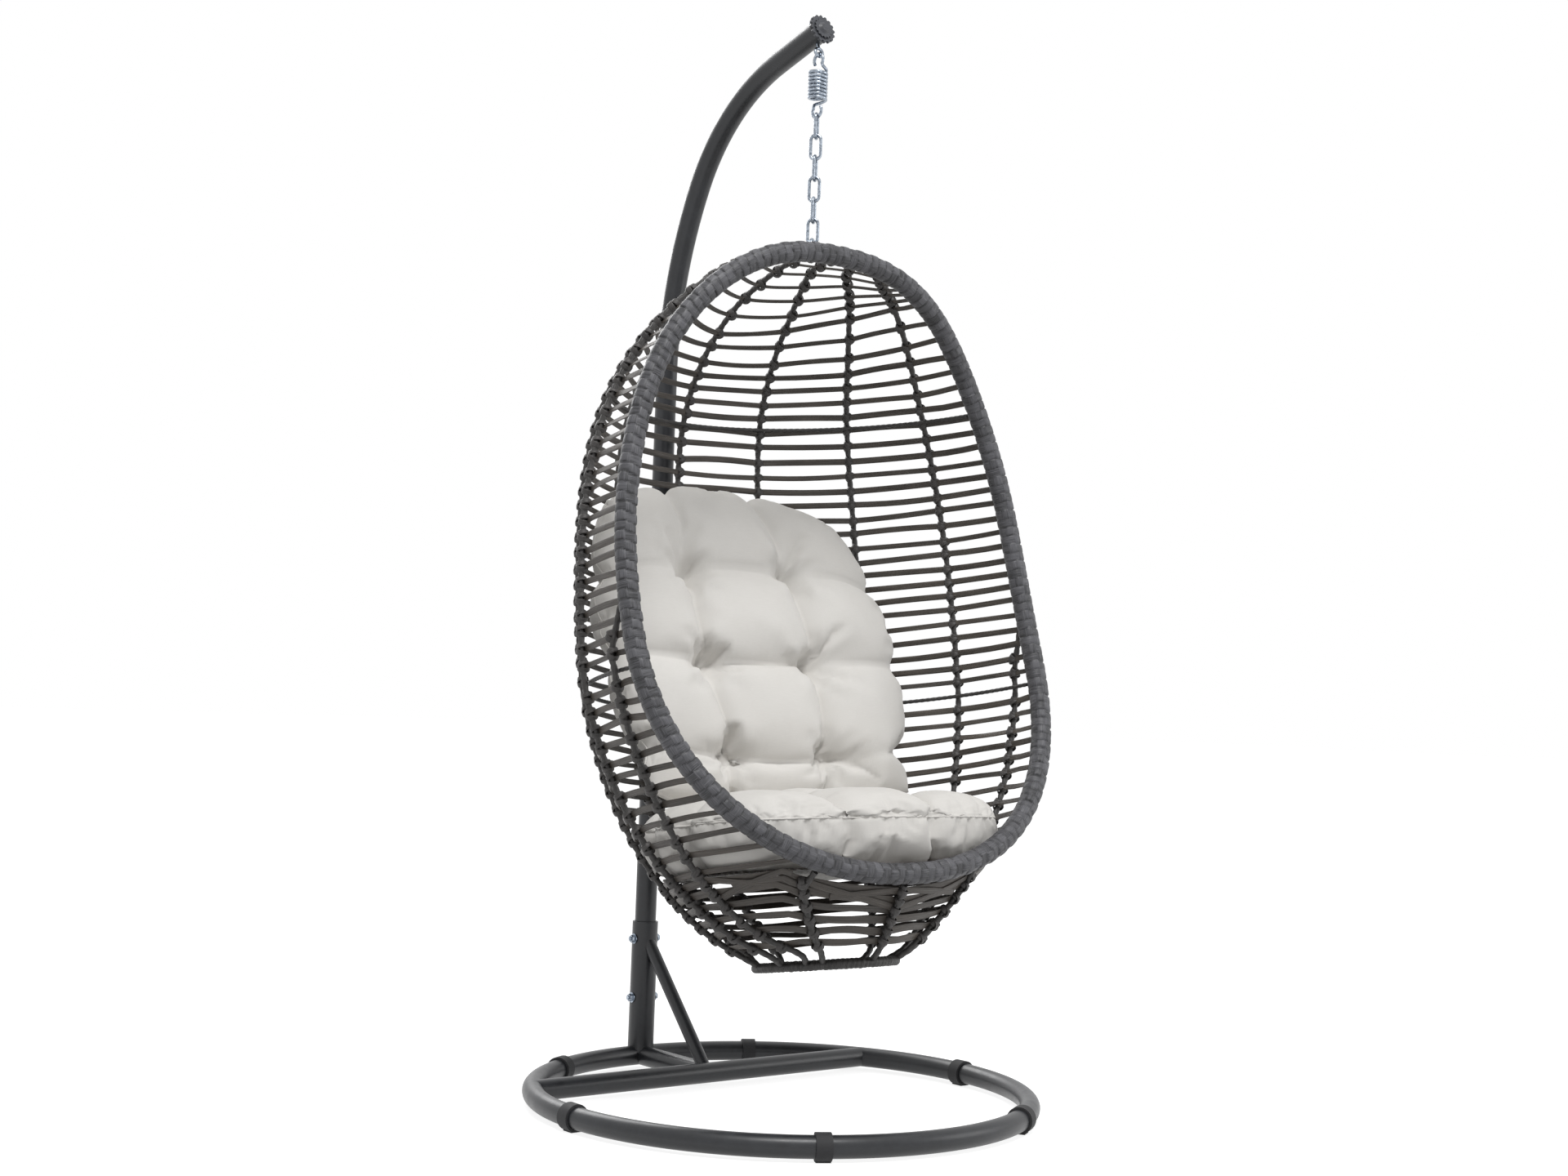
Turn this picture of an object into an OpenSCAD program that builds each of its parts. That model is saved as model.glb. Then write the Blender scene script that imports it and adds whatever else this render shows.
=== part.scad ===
// Hanging egg chair: a ring base with a bent pole, a spring and chain, and a wicker egg with cushions.
// Millimetres, +Z up. The origin is on the floor, on the axis of the base ring. The chair faces -Y.

/* [Base] */
// Radius of the base ring, to the middle of its tube
ring_r = 450; // [400:5:560]
// Outer diameter of the ring, cross tube and strut
base_tube_d = 38; // [32:1:44]
// Wall of the steel tubes
tube_wall = 2; // [1.5:0.1:3]
// Distance from the middle of the ring back to the cross tube
cross_y = 228; // [180:2:280]
// Diameter of the drain holes under the ring
drain_d = 6; // [4:0.5:8]
// Number of drain holes
drain_count = 4; // [2:1:8]
// Height of the socket post above the floor
post_top = 288; // [260:1:400]
// Outer diameter of the socket post
post_d = 51; // [50:0.5:60]
// Outer diameter of the brace
brace_d = 25; // [20:1:30]
// Height at which the brace meets the post
brace_top = 238; // [180:1:250]

/* [Floor pads] */
// Number of clip-on floor pads
pad_count = 6; // [4:1:6]
// Thickness of a pad's rubber
pad_wall = 4.5; // [3:0.5:8]
// Length of a pad along the ring
pad_len = 26; // [16:1:40]
// Width of a pad's flat sole
sole_w = 20; // [12:1:24]

/* [Pole and arm] */
// Outer diameter of the pole and the arm
pole_d = 42; // [38:0.5:45]
// Radial clearance between the pole and its socket
socket_fit = 0.3; // [0.15:0.05:0.6]
// Height of the joint between the pole and the arm
joint_z = 1020; // [700:10:1300]
// Length of the swaged spigot inside the arm
spigot_len = 60; // [40:1:90]
// Radial clearance of the spigot
spigot_fit = 0.15; // [0.1:0.05:0.4]
// Height at which the arm starts to bend
bend_z = 1387; // [1330:1:1500]
// Radius of the lower, wide bend
bend_r1 = 810; // [650:5:1000]
// Lean of the arm at the end of the wide bend, in degrees
bend_a1 = 27.4; // [20:0.1:35]
// Radius of the upper, tight bend
bend_r2 = 388; // [300:2:480]
// Lean of the arm at its tip, in degrees
bend_a2 = 74.1; // [65:0.1:85]

/* [Socket bolts] */
// Diameter of the bolts through the socket
bolt_d = 8; // [6:0.5:10]
// Clearance of the bolt holes, on the diameter
bolt_play = 0.6; // [0.3:0.1:1]
// Height of the lower bolt
bolt_z_low = 138; // [90:1:160]
// Height of the upper bolt
bolt_z_high = 254; // [200:1:260]
// Width across the flats of the bolt heads and nuts
hex_w = 13; // [10:0.5:17]
// Thickness of a bolt head
head_h = 5.5; // [4:0.5:7]
// Thickness of a nut
nut_h = 6.5; // [5:0.5:8]
// Outer diameter of a washer
washer_d = 20; // [16:0.5:24]
// Thickness of a washer
washer_h = 1.6; // [1:0.1:2.5]

/* [Arm tip] */
// Distance from the end of the arm to the hook bolt
hook_inset = 16; // [14:0.5:30]
// Mean radius of the hook bolt's eye
eye_r = 8.5; // [8:0.5:12]
// Distance from the middle of the arm to the middle of the eye
eye_drop = 39; // [37:0.5:60]
// Outer diameter of the flower-shaped end cap
cap_d = 57; // [50:0.5:64]
// Number of petals on the end cap
petal_count = 16; // [10:1:20]
// Thickness of the end cap's petals
petal_h = 5; // [3:0.5:8]
// Depth of the end cap's plug in the arm
plug_len = 5; // [3:0.5:5]

/* [Spring and chain] */
// Diameter of the spring, chain and hook wire
wire_d = 6; // [5:0.5:6.5]
// Mean radius of the spring's coils
coil_r = 15.8; // [14:0.1:20]
// Rise of one coil
coil_pitch = 6.8; // [6.7:0.1:9]
// Number of coils
coil_count = 8; // [6:1:12]
// Mean radius of the spring's end hooks
hook_r = 12.5; // [11:0.5:14]
// Height of each end hook's middle beyond the coils
hook_rise = 21; // [19:0.5:26]
// Outer length of a chain link
link_len = 52; // [44:1:60]
// Outer width of a chain link
link_w = 25; // [22:0.5:30]
// Number of chain links
link_count = 6; // [6:1:6]
// Turn of the chain about its own line, in degrees
chain_turn = 38; // [30:1:50]
// Clearance between linked wires
link_play = 0.3; // [0.2:0.1:0.6]

/* [Egg] */
// Lean of the egg, in degrees, with its front raised
egg_tilt = 8.5; // [7:0.5:10]
// Height of the egg along its own axis, down to the middle of the bottom ring
egg_h = 1297; // [1250:1:1360]
// Depth of the widest level below the top
wide_h = 730; // [680:5:780]
// Half width of the egg
egg_w = 466; // [420:1:520]
// Level of the middle of the rim's top, below the point that the egg hangs by
rim_top_h = 23; // [18:1:30]
// How far the middle of the rim's top lies in front of that point
rim_top_v = 74; // [64:1:84]
// Rise of the dome between the rim's top and the back
dome_rise = 24; // [16:1:28]
// Depth of the back behind the opening's plane
egg_depth = 470; // [440:1:490]
// Level, from the top, where the back is deepest
deep_h = 600; // [560:5:660]
// Level of the opening's lower edge
mouth_h = 1150; // [1130:1:1160]
// How far forward the opening's lower edge lies
mouth_v = 150; // [120:1:180]
// Slant of the rows of wicker at the widest level, in degrees
row_slant = 0; // [-2:0.5:2]
// Outer diameter of the rim tube
rim_tube_d = 22; // [19:0.5:24]
// Wall of the rim tube
rim_wall = 2; // [1.2:0.1:2.2]
// Outer diameter of the wicker wrapped round the rim
rim_wrap_d = 40; // [34:0.5:44]
// Clearance between the rim tube and its wrapping
rim_play = 0.3; // [0.2:0.1:0.6]
// Diameter of the wrapped ribs
rib_d = 8; // [6:0.5:10]
// Diameter of the two hoops
hoop_d = 7; // [5:0.5:8]
// Level of the upper hoop at the rim
hoop_high = 262; // [240:1:300]
// Level of the lower hoop at the rim
hoop_low = 792; // [760:1:830]
// Thickness of the woven wall
weave_t = 2.2; // [2:0.1:3]
// Clearance between the woven wall and what it is tied to
weave_play = 0.6; // [0.4:0.1:1]
// Mean radius of the bottom ring
foot_r = 125; // [110:1:140]
// Diameter of the bottom ring's wrapped rod
foot_d = 16; // [12:0.5:20]
// Level of the woven seat floor
floor_h = 1132; // [1120:1:1140]
// Thickness of the woven seat floor
floor_t = 6; // [4:0.5:8]

/* [Cushions] */
// Width of the seat cushion
seat_w = 690; // [600:2:700]
// Depth of the seat cushion, front to back
seat_l = 400; // [360:2:420]
// Thickness of the seat cushion at its crown
seat_t = 130; // [110:1:140]
// Width of the back cushion
back_w = 640; // [560:2:650]
// Height of the back cushion
back_l = 656; // [600:2:670]
// Thickness of the back cushion at its crown
back_t = 125; // [110:1:140]
// Distance between the two columns of tufts
tuft_gap = 240; // [200:2:260]
// Depth of a sewn tuft
tuft_depth = 30; // [15:1:40]
// Depth of the creases between the tufts
crease_depth = 16; // [5:1:22]

/* [Hidden] */
$fn = 64;
LINKS = [for (k = [1 : link_count]) str("chain_link_", k)];
PADS = [for (k = [1 : pad_count]) str("floor_pad_", k)];
// Angles of the side ribs about the egg's axis, measured from the back
rib_angles = [22, 46, 69.5, 86];
// Distance from the middle of the rim's top to where each side rib leaves the rim
rib_starts = [26, 62, 105];
// Angle of the front ribs beside the middle one
front_angle = 140;

// Heights and places that follow from the sizes above
ring_z = base_tube_d / 2 + pad_wall;
cross_half = sqrt(ring_r * ring_r - cross_y * cross_y);
pole_y = ring_r;
pole_foot = ring_z + base_tube_d / 2 + 2;
socket_d = pole_d + 2 * socket_fit;
spigot_d = pole_d - 2 * tube_wall - 2 * spigot_fit;
swage_h = 8;

// The arm in its own plane: [y, z] at the end of each bend
bend_c1 = [pole_y - bend_r1, bend_z];
bend_p1 = bend_c1 + bend_r1 * [cos(bend_a1), sin(bend_a1)];
bend_c2 = bend_p1 - bend_r2 * [cos(bend_a1), sin(bend_a1)];
bend_p2 = bend_c2 + bend_r2 * [cos(bend_a2), sin(bend_a2)];
tip_dir = [-sin(bend_a2), cos(bend_a2)];
tip_up = [cos(bend_a2), sin(bend_a2)];
// The spring hangs this far in front of the ring's axis
hang_y = -3;
tip_len = (bend_p2[0] - hang_y - eye_drop * tip_up[0]) / sin(bend_a2) + hook_inset;
tip_end = bend_p2 + tip_len * tip_dir;
hook_at = tip_end - hook_inset * tip_dir;
eye_at = hook_at - eye_drop * tip_up;

// Heights down the spring and the chain
wire_step = wire_d + link_play;
hook_step = wire_step + 0.25;
spring_top = eye_at[1] - eye_r + hook_step - hook_r;
coil_top = spring_top - hook_rise;
coil_len = coil_pitch * coil_count;
coil_foot = coil_top - coil_len;
spring_foot = coil_foot - hook_rise;
link_pitch = link_len - 2 * wire_d - link_play;
link_z = [for (k = [0 : link_count - 1])
  spring_foot - hook_r + hook_step - link_len / 2 + wire_d / 2 - k * link_pitch];
eye_wire = 7;
eye_bow = 13;
// Height of the point that the egg hangs by
hang_z = link_z[link_count - 1] - link_len / 2 - link_play - rim_wrap_d / 2;
rim_eye_z = link_z[link_count - 1] - link_len / 2 + wire_d + link_play + eye_wire / 2 - eye_bow;

rib_off = weave_t / 2 + weave_play + rib_d / 2;

// Shape of the egg. A level h is measured down its axis, v is forward and u is to the side.
function sup(t, m) = pow(max(0, 1 - pow(max(0, t), m)), 1 / m);
function ramp(t) = min(1, max(0, t));
mouth_drop = mouth_h - wide_h;
side_drop = egg_h + 22 - wide_h;
rim_rise = wide_h - rim_top_h;
round_high = 2.35;
round_low = 2.2;
function rim_u(h) = h < wide_h
  ? egg_w * sup((wide_h - h) / rim_rise, round_high)
  : egg_w * sup((h - wide_h) / mouth_drop, round_low);
rim_set = 12;
function near_top(h) = rim_set
  + (rim_top_v - rim_set) * exp(-pow(max(0, h - rim_top_h) / 140, 1.5));
function rim_v(h) = near_top(h)
  + (mouth_v - rim_set) * pow(ramp((h - 480) / (mouth_h - 480)), 1.9);
function rim_at(h) = [rim_u(h), -rim_v(h), -h];
function half_w(h) = h < wide_h ? rim_u(h) : max(rim_u(h), egg_w * sup((h - wide_h) / side_drop, 1.8));
function mid_v(h) = near_top(h) - 94 * pow(ramp((h - deep_h) / (egg_h - deep_h)), 1.5);
function back_d(h) = h < deep_h
  ? egg_depth * sup((deep_h - h) / deep_h, 3.6)
  : egg_depth * sup((h - deep_h) / (egg_h + 17 - deep_h), 1.8);
function rim_angle(h) = h < mouth_h ? 180 - asin(rim_u(h) / (half_w(h) + 0.5)) : 180;
foot_front = foot_r;
function front_d(h) = h < mouth_h
  ? (rim_v(h) - mid_v(h)) / -cos(rim_angle(h))
  : foot_front + (mouth_v - mid_v(mouth_h) - foot_front) * (egg_h - h) / (egg_h - mouth_h);
function lift(h, c) = c > 0 ? dome_rise * exp(-max(0, h - rim_top_h) / 60) * sin(180 * c) : 0;
// Point on the middle of the wall at level h and angle a from the back
function skin(a, h) = let (b = abs(a), c = cos(b))
  [sign(a) * (half_w(h) + 0.5) * sin(b),
    -(mid_v(h) - (c > 0 ? back_d(h) : front_d(h)) * c),
    -h + lift(h, c)];
function unit(p) = p / norm(p);
function skin_out(a, h) = let (e = 0.5,
    g = max(h, rim_top_h + 0.6),
    s = skin(a + e, g) - skin(a - e, g),
    t = skin(a, g + e) - skin(a, g - e))
  unit(cross(s, t));
function skin_off(a, h, d) = skin(a, h) + d * skin_out(a, h);
// The rows of wicker fan out, so a row's level at angle a differs from its level at the rim
function row_fan(s) = (row_slant + 10.5 * (s - wide_h) / 1000) * ramp((s - 60) / 200);
function row_level(s, a) = let (k = tan(row_fan(s)),
    g = s + (rim_v(s) + skin(a, s)[1]) * k)
  s + (rim_v(s) + skin(a, g)[1]) * k;

// The rim, from its seam at the bottom right round the whole loop to the same seam
function rim_turn(a) = let (c = abs(cos(a)), s = abs(sin(a)),
    h = cos(a) > 0
      ? wide_h - rim_rise * pow(c, 2 / round_high)
      : wide_h + mouth_drop * pow(c, 2 / round_low),
    q = rim_at(h))
  [sign(sin(a)) * egg_w * pow(s, 2 / (cos(a) > 0 ? round_high : round_low)), q[1], q[2]];
rim_rings = 56;
rim_seam = 0.4;
rim_line = [for (k = [0 : rim_rings])
  rim_turn(180 - rim_seam - k * (360 - 2 * rim_seam) / rim_rings)];
// Distance of a point from the middle of the rim, on its own side
function line_gap(p, a, b) = let (d = b - a, t = ramp((p - a) * d / (d * d)))
  norm(p - a - t * d);
function rim_gap(p) = let (q = [abs(p[0]), p[1], p[2]])
  min([for (k = [0 : rim_rings / 2]) line_gap(q, rim_line[k], rim_line[k + 1])]);
// Point of the rim's middle line nearest to p
function rim_near(p) = let (least = rim_gap(p))
  [for (k = [0 : rim_rings / 2]) let (a = rim_line[k], d = rim_line[k + 1] - a)
    if (line_gap(p, a, a + d) <= least + 0.001) a + ramp((p - a) * d / (d * d)) * d][0];
// Angle at which a row stops, at a given distance from the middle of the rim
function row_stop(s, clear) = let (a = rim_angle(s))
  [for (b = [a : -0.25 : 20]) if (rim_gap(skin(b, row_level(s, b))) > clear) b][0];

// Places a piece in the egg's own frame, whose origin is the point it hangs by
module in_egg() {
  translate([0, hang_y, hang_z])
    rotate([-egg_tilt, 0, 0])
      children();
}

// Places a piece in the plane of the arm, with its X along +Y and its Y along +Z
module in_arm() {
  rotate([90, 0, 90])
    children();
}

// Unit vectors square to a route, carried along it without twist
function tangents(p) = let (n = len(p))
  [for (i = [0 : n - 1]) unit(p[min(i + 1, n - 1)] - p[max(i - 1, 0)])];
function square_to(n, t) = unit(n - (n * t) * t);
function normals(t, first) =
  [for (i = 0, n = square_to(first, t[0]); i < len(t); i = i + 1,
    n = i < len(t) ? square_to(n, t[i]) : n) n];
function tube_points(p, r, sides, first) = let (t = tangents(p), m = normals(t, first))
  [for (i = [0 : len(p) - 1], j = [0 : sides - 1]) let (a = 360 * j / sides)
    p[i] + r * (cos(a) * m[i] + sin(a) * cross(t[i], m[i]))];
function tube_faces(rings, sides, at, inside) =
  [for (i = [0 : rings - 2], j = [0 : sides - 1], half = [0, 1])
    let (k = (j + 1) % sides,
      a = at + i * sides + j,
      b = at + i * sides + k,
      c = b + sides,
      d = a + sides,
      f = half == 0 ? [a, d, c] : [a, c, b])
    inside ? [f[0], f[2], f[1]] : f];

// A round bar swept along a route
module bar(p, r, sides, first) {
  n = len(p);
  last = (n - 1) * sides;
  caps = concat(
    [for (j = [1 : sides - 2]) [0, j, j + 1]],
    [for (j = [1 : sides - 2]) [last, last + j + 1, last + j]]);
  polyhedron(tube_points(p, r, sides, first), concat(tube_faces(n, sides, 0, false), caps));
}

// A hollow tube swept along a route, open at both ends, with a multiple of sides outside
module pipe(p, ro, ri, sides, first) {
  n = len(p);
  hole = n * sides;
  function annulus(a, b, flip) =
    [for (j = [0 : sides - 1], half = [0, 1])
      let (k = (j + 1) % sides,
        f = half == 0 ? [a + j, a + k, b + k] : [a + j, b + k, b + j])
      flip ? [f[0], f[2], f[1]] : f];
  polyhedron(
    concat(tube_points(p, ro, sides, first), tube_points(p, ri, sides, first)),
    concat(
      tube_faces(n, sides, 0, false),
      tube_faces(n, sides, hole, true),
      annulus(0, hole, false),
      annulus((n - 1) * sides, hole + (n - 1) * sides, true)));
}

// ---- The stand ----

module ring_solid() {
  translate([0, 0, ring_z])
    rotate_extrude()
      translate([ring_r, 0])
        circle(d = base_tube_d);
}

module base_ring() {
  color("#47474a")
    difference() {
      ring_solid();
      translate([0, 0, ring_z])
        rotate_extrude()
          translate([ring_r, 0])
            circle(d = base_tube_d - 2 * tube_wall);
      for (k = [0 : drain_count - 1])
        rotate([0, 0, (k + 0.5) * 360 / drain_count])
          translate([ring_r, 0, 0])
            cylinder(d = drain_d, h = ring_z);
    }
}

module cross_bar(d) {
  translate([-cross_half, cross_y, ring_z])
    rotate([0, 90, 0])
      cylinder(d = d, h = 2 * cross_half);
}

module cross_tube() {
  color("#47474a")
    difference() {
      cross_bar(base_tube_d);
      cross_bar(base_tube_d - 2 * tube_wall);
      ring_solid();
    }
}

module post_solid(d) {
  translate([0, pole_y, ring_z])
    cylinder(d = d, h = post_top - ring_z);
}

module strut_bar(d) {
  translate([0, pole_y, ring_z])
    rotate([90, 0, 0])
      cylinder(d = d, h = pole_y - cross_y);
}

module base_strut() {
  color("#47474a")
    difference() {
      strut_bar(base_tube_d);
      strut_bar(base_tube_d - 2 * tube_wall);
      ring_solid();
      cross_bar(base_tube_d);
      post_solid(post_d);
    }
}

module bolt_holes(d, reach) {
  for (z = [bolt_z_low, bolt_z_high])
    translate([-reach / 2, pole_y, z])
      rotate([0, 90, 0])
        cylinder(d = d, h = reach);
}

module socket_post() {
  color("#47474a")
    difference() {
      post_solid(post_d);
      translate([0, pole_y, 0])
        cylinder(d = socket_d, h = post_top + 1);
      ring_solid();
      bolt_holes(bolt_d + bolt_play, 2 * post_d);
    }
}

// The brace runs from the front of the post down to the top of the cross tube
brace_from = [0, pole_y, brace_top + post_d / 2];
brace_to = [0, cross_y, ring_z];
brace_run = brace_from - brace_to;

module brace_bar(d) {
  translate(brace_to)
    rotate([-atan2(brace_run[1], brace_run[2]), 0, 0])
      cylinder(d = d, h = norm(brace_run));
}

module brace() {
  color("#47474a")
    difference() {
      brace_bar(brace_d);
      brace_bar(brace_d - 2 * tube_wall);
      cross_bar(base_tube_d);
      post_solid(post_d);
      strut_bar(base_tube_d);
      translate([-post_d, pole_y, 0])
        cube([2 * post_d, post_d, post_top + post_d]);
    }
}

module floor_pad(k) {
  arc = pad_len / ring_r * 180 / PI;
  color("#1c1c1d")
    rotate([0, 0, -90 + (k + 0.5) * 360 / pad_count])
      difference() {
        union() {
          translate([0, 0, ring_z])
            rotate([0, 0, -arc / 2])
              rotate_extrude(angle = arc)
                translate([ring_r, 0])
                  circle(d = base_tube_d + 2 * pad_wall);
          translate([ring_r - sole_w / 2, -pad_len / 2 + 0.5, 0])
            cube([sole_w, pad_len - 1, ring_z / 2]);
        }
        ring_solid();
      }
}

module lower_pole() {
  color("#47474a")
    difference() {
      translate([0, pole_y, 0])
        union() {
          translate([0, 0, pole_foot])
            cylinder(d = pole_d, h = joint_z - pole_foot);
          translate([0, 0, joint_z])
            cylinder(d = spigot_d, h = spigot_len);
        }
      translate([0, pole_y, pole_foot - 1])
        cylinder(d = pole_d - 2 * tube_wall, h = joint_z - swage_h - pole_foot + 1);
      translate([0, pole_y, joint_z - swage_h])
        cylinder(d1 = pole_d - 2 * tube_wall, d2 = spigot_d - 2 * tube_wall, h = swage_h);
      translate([0, pole_y, joint_z])
        cylinder(d = spigot_d - 2 * tube_wall, h = spigot_len + 1);
      bolt_holes(bolt_d + bolt_play, 2 * post_d);
    }
}

// Places a piece at the end of the arm's bends, with its Z along the arm's tip
module at_tip() {
  in_arm()
    translate([pole_y - bend_r1, bend_z])
      rotate([0, 0, bend_a1])
        translate([bend_r1 - bend_r2, 0])
          rotate([0, 0, bend_a2 - bend_a1])
            translate([bend_r2, 0])
              rotate([-90, 0, 0])
                children();
}

// Places a piece on the hook bolt's line, with the middle of the arm at its origin
module at_hook() {
  at_tip()
    translate([0, 0, tip_len - hook_inset])
      rotate([0, 90, 0])
        children();
}

module bend(d, r, a) {
  rotate_extrude(angle = a)
    translate([r, 0])
      circle(d = d);
}

module arm_run(d, past) {
  translate([0, pole_y, joint_z - past])
    cylinder(d = d, h = bend_z - joint_z + past);
  in_arm()
    translate([pole_y - bend_r1, bend_z])
      union() {
        bend(d, bend_r1, bend_a1);
        rotate([0, 0, bend_a1])
          translate([bend_r1 - bend_r2, 0])
            bend(d, bend_r2, bend_a2 - bend_a1);
      }
  at_tip()
    cylinder(d = d, h = tip_len + past);
}

// Short straight lengths across the end of each bend, which join the lengths of the tube and its bore
module arm_overlaps(d, h) {
  in_arm()
    translate([pole_y - bend_r1, bend_z])
      rotate([0, 0, bend_a1])
        translate([bend_r1, 0])
          rotate([90, 0, 0])
            cylinder(d = d, h = h, center = true);
  at_tip()
    cylinder(d = d, h = h, center = true);
}

module upper_arm() {
  color("#47474a")
    difference() {
      union() {
        arm_run(pole_d, 0);
        arm_overlaps(pole_d - tube_wall, 6);
      }
      arm_run(pole_d - 2 * tube_wall, 1);
      arm_overlaps(pole_d - 2 * tube_wall - 0.2, 6);
      at_hook()
        cylinder(d = bolt_d + bolt_play, h = 2 * pole_d, center = true);
    }
}

module hex_block(h) {
  cylinder(d = hex_w / cos(30), h = h, $fn = 6);
}

// Each bolt's head is on the +X side of the post and its nut on the -X side
module at_bolts() {
  for (z = [bolt_z_low, bolt_z_high])
    translate([0, pole_y, z])
      rotate([0, 90, 0])
        children();
}

module washer() {
  difference() {
    cylinder(d = washer_d, h = washer_h);
    translate([0, 0, -1])
      cylinder(d = bolt_d + bolt_play, h = washer_h + 2);
  }
}

bolt_seat = post_d / 2 + washer_h;

module socket_bolts() {
  color("#b9c0c6")
    at_bolts()
      union() {
        translate([0, 0, -bolt_seat - nut_h - 3])
          cylinder(d = bolt_d, h = 2 * bolt_seat + nut_h + 3);
        translate([0, 0, bolt_seat])
          hex_block(head_h);
      }
}

module socket_washers() {
  color("#b9c0c6")
    at_bolts()
      for (side = [0, 1])
        mirror([0, 0, side])
          translate([0, 0, post_d / 2])
            washer();
}

module socket_nuts() {
  color("#b9c0c6")
    at_bolts()
      difference() {
        translate([0, 0, -bolt_seat - nut_h])
          hex_block(nut_h);
        translate([0, 0, -bolt_seat - nut_h - 1])
          cylinder(d = bolt_d, h = nut_h + 2);
      }
}

// ---- The tip of the arm ----

module petals(d, h) {
  petal_d = PI * d / petal_count * 0.62;
  linear_extrude(h)
    union() {
      circle(d = d - petal_d);
      for (k = [0 : petal_count - 1])
        rotate(k * 360 / petal_count)
          translate([(d - petal_d) / 2, 0])
            circle(d = petal_d);
    }
}

module end_cap() {
  color("#3a3a3c")
    at_tip()
      translate([0, 0, tip_len])
        union() {
          translate([0, 0, -plug_len])
            cylinder(d = pole_d - 2 * tube_wall - 0.4, h = plug_len);
          petals(cap_d, petal_h);
          translate([0, 0, petal_h])
            petals(cap_d * 0.72, petal_h * 0.6);
          translate([0, 0, petal_h * 1.6])
            cylinder(d1 = cap_d * 0.42, d2 = cap_d * 0.26, h = petal_h * 0.8);
        }
}

// Height of the hook bolt's washer seat above the middle of the arm
hook_seat = pole_d / 2 + 0.4;

module hook_bolt() {
  color("#b9c0c6")
    at_hook()
      union() {
        translate([0, 0, -eye_drop + eye_r])
          cylinder(d = bolt_d, h = eye_drop - eye_r + hook_seat + washer_h + nut_h - 1);
        translate([0, 0, -eye_drop])
          rotate([0, 90, 0])
            rotate_extrude()
              translate([eye_r, 0])
                circle(d = wire_d);
      }
}

module hook_washer() {
  color("#b9c0c6")
    at_hook()
      translate([0, 0, hook_seat])
        washer();
}

module hook_nut() {
  color("#2b2b2d")
    at_hook()
      translate([0, 0, hook_seat + washer_h])
        difference() {
          union() {
            hex_block(nut_h);
            translate([0, 0, nut_h])
              intersection() {
                sphere(d = hex_w);
                cylinder(d = hex_w, h = hex_w);
              }
          }
          translate([0, 0, -1])
            cylinder(d = bolt_d, h = nut_h + 1);
        }
}

// ---- The spring and the chain ----

// An end hook, from its tip to the first coil: a loop in the YZ plane, then a turn out to the coils
function ease(t) = t * t * (3 - 2 * t);
hook_open = -35;
hook_close = 215;
function end_hook(rise) = concat(
  [for (a = [hook_open : 12.5 : hook_close]) [0, hook_r * cos(a), rise + hook_r * sin(a)]],
  [for (k = [1 : 5]) let (t = k / 6, a = 180 + 90 * t * t,
      y0 = -hook_r * cos(hook_close - 180),
      z0 = rise - hook_r * sin(hook_close - 180),
      r = -y0 + (coil_r + y0) * ease(t))
    [r * sin(a - 180), -r * cos(a - 180), z0 * (1 - t) * (1 - 0.35 * t)]]);
spring_turns = 360 * coil_count;
function coil() = [for (a = [0 : 45 : spring_turns])
  [coil_r * cos(a), coil_r * sin(a), -coil_pitch * a / 360]];
function flip(p) = [for (k = [len(p) - 1 : -1 : 0]) [p[k][0], -p[k][1], -coil_len - p[k][2]]];
spring_line = [for (p = concat(end_hook(hook_rise), coil(), flip(end_hook(hook_rise))))
  p + [0, hang_y, coil_top]];
// Least gap of the spring's wire to itself, past the points next to each one
coil_gap = min([for (i = [0 : len(spring_line) - 1], k = [0 : len(spring_line) - 1])
  if (k > i + 5) norm(spring_line[i] - spring_line[k])]) - wire_d;
echo(spring_gap_to_itself = coil_gap);

module spring() {
  color("#aeb8c2")
    bar(spring_line, wire_d / 2, 6, [1, 0, 0]);
}

module chain_link(k) {
  bend_r = (link_w - wire_d) / 2;
  straight = link_len - link_w;
  color("#b4bcc4")
    translate([0, hang_y, link_z[k]])
      rotate([90, 0, chain_turn + 90 * (k % 2)])
        union() {
          for (side = [-1, 1])
            translate([side * bend_r, straight / 2, 0])
              rotate([90, 0, 0])
                cylinder(d = wire_d, h = straight);
          for (end = [0, 180])
            rotate([0, 0, end])
              translate([0, straight / 2, 0])
                rotate_extrude(angle = 180)
                  translate([bend_r, 0])
                    circle(d = wire_d);
        }
}

// The eye stands on a round plate that is welded to the top of the back rib
plate_d = 36;
plate_t = 3;
crest_c = rim_top_v / back_d(rim_top_h);
plate_z = hang_z + skin(acos(crest_c), rim_top_h)[2] + rib_off - 1 + rib_d / 2;

module rim_eye() {
  color("#b9c0c6")
    union() {
      translate([0, hang_y, plate_z])
        cylinder(d = plate_d, h = plate_t);
      translate([0, hang_y, rim_eye_z])
        rotate([0, 0, chain_turn])
          union() {
            rotate([90, 0, 0])
              rotate_extrude(angle = 180)
                translate([eye_bow, 0])
                  circle(d = eye_wire);
            for (side = [-1, 1])
              translate([side * eye_bow, 0, plate_z - rim_eye_z + plate_t / 2])
                cylinder(d = eye_wire, h = rim_eye_z - plate_z - plate_t / 2);
          }
    }
}

// ---- The frame of the egg ----

module rim_frame() {
  color("#5a5a5c")
    in_egg()
      pipe(rim_line, rim_tube_d / 2, rim_tube_d / 2 - rim_wall, 8, [0, 0, 1]);
}

module rim_wrap() {
  inner = (rim_tube_d / 2 + rim_play) / cos(180 / 12);
  color("#64646a")
    in_egg()
      pipe(rim_line, rim_wrap_d / 2, inner, 12, [0, 0, 1]);
}

ring_gap = 0.5;
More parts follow.
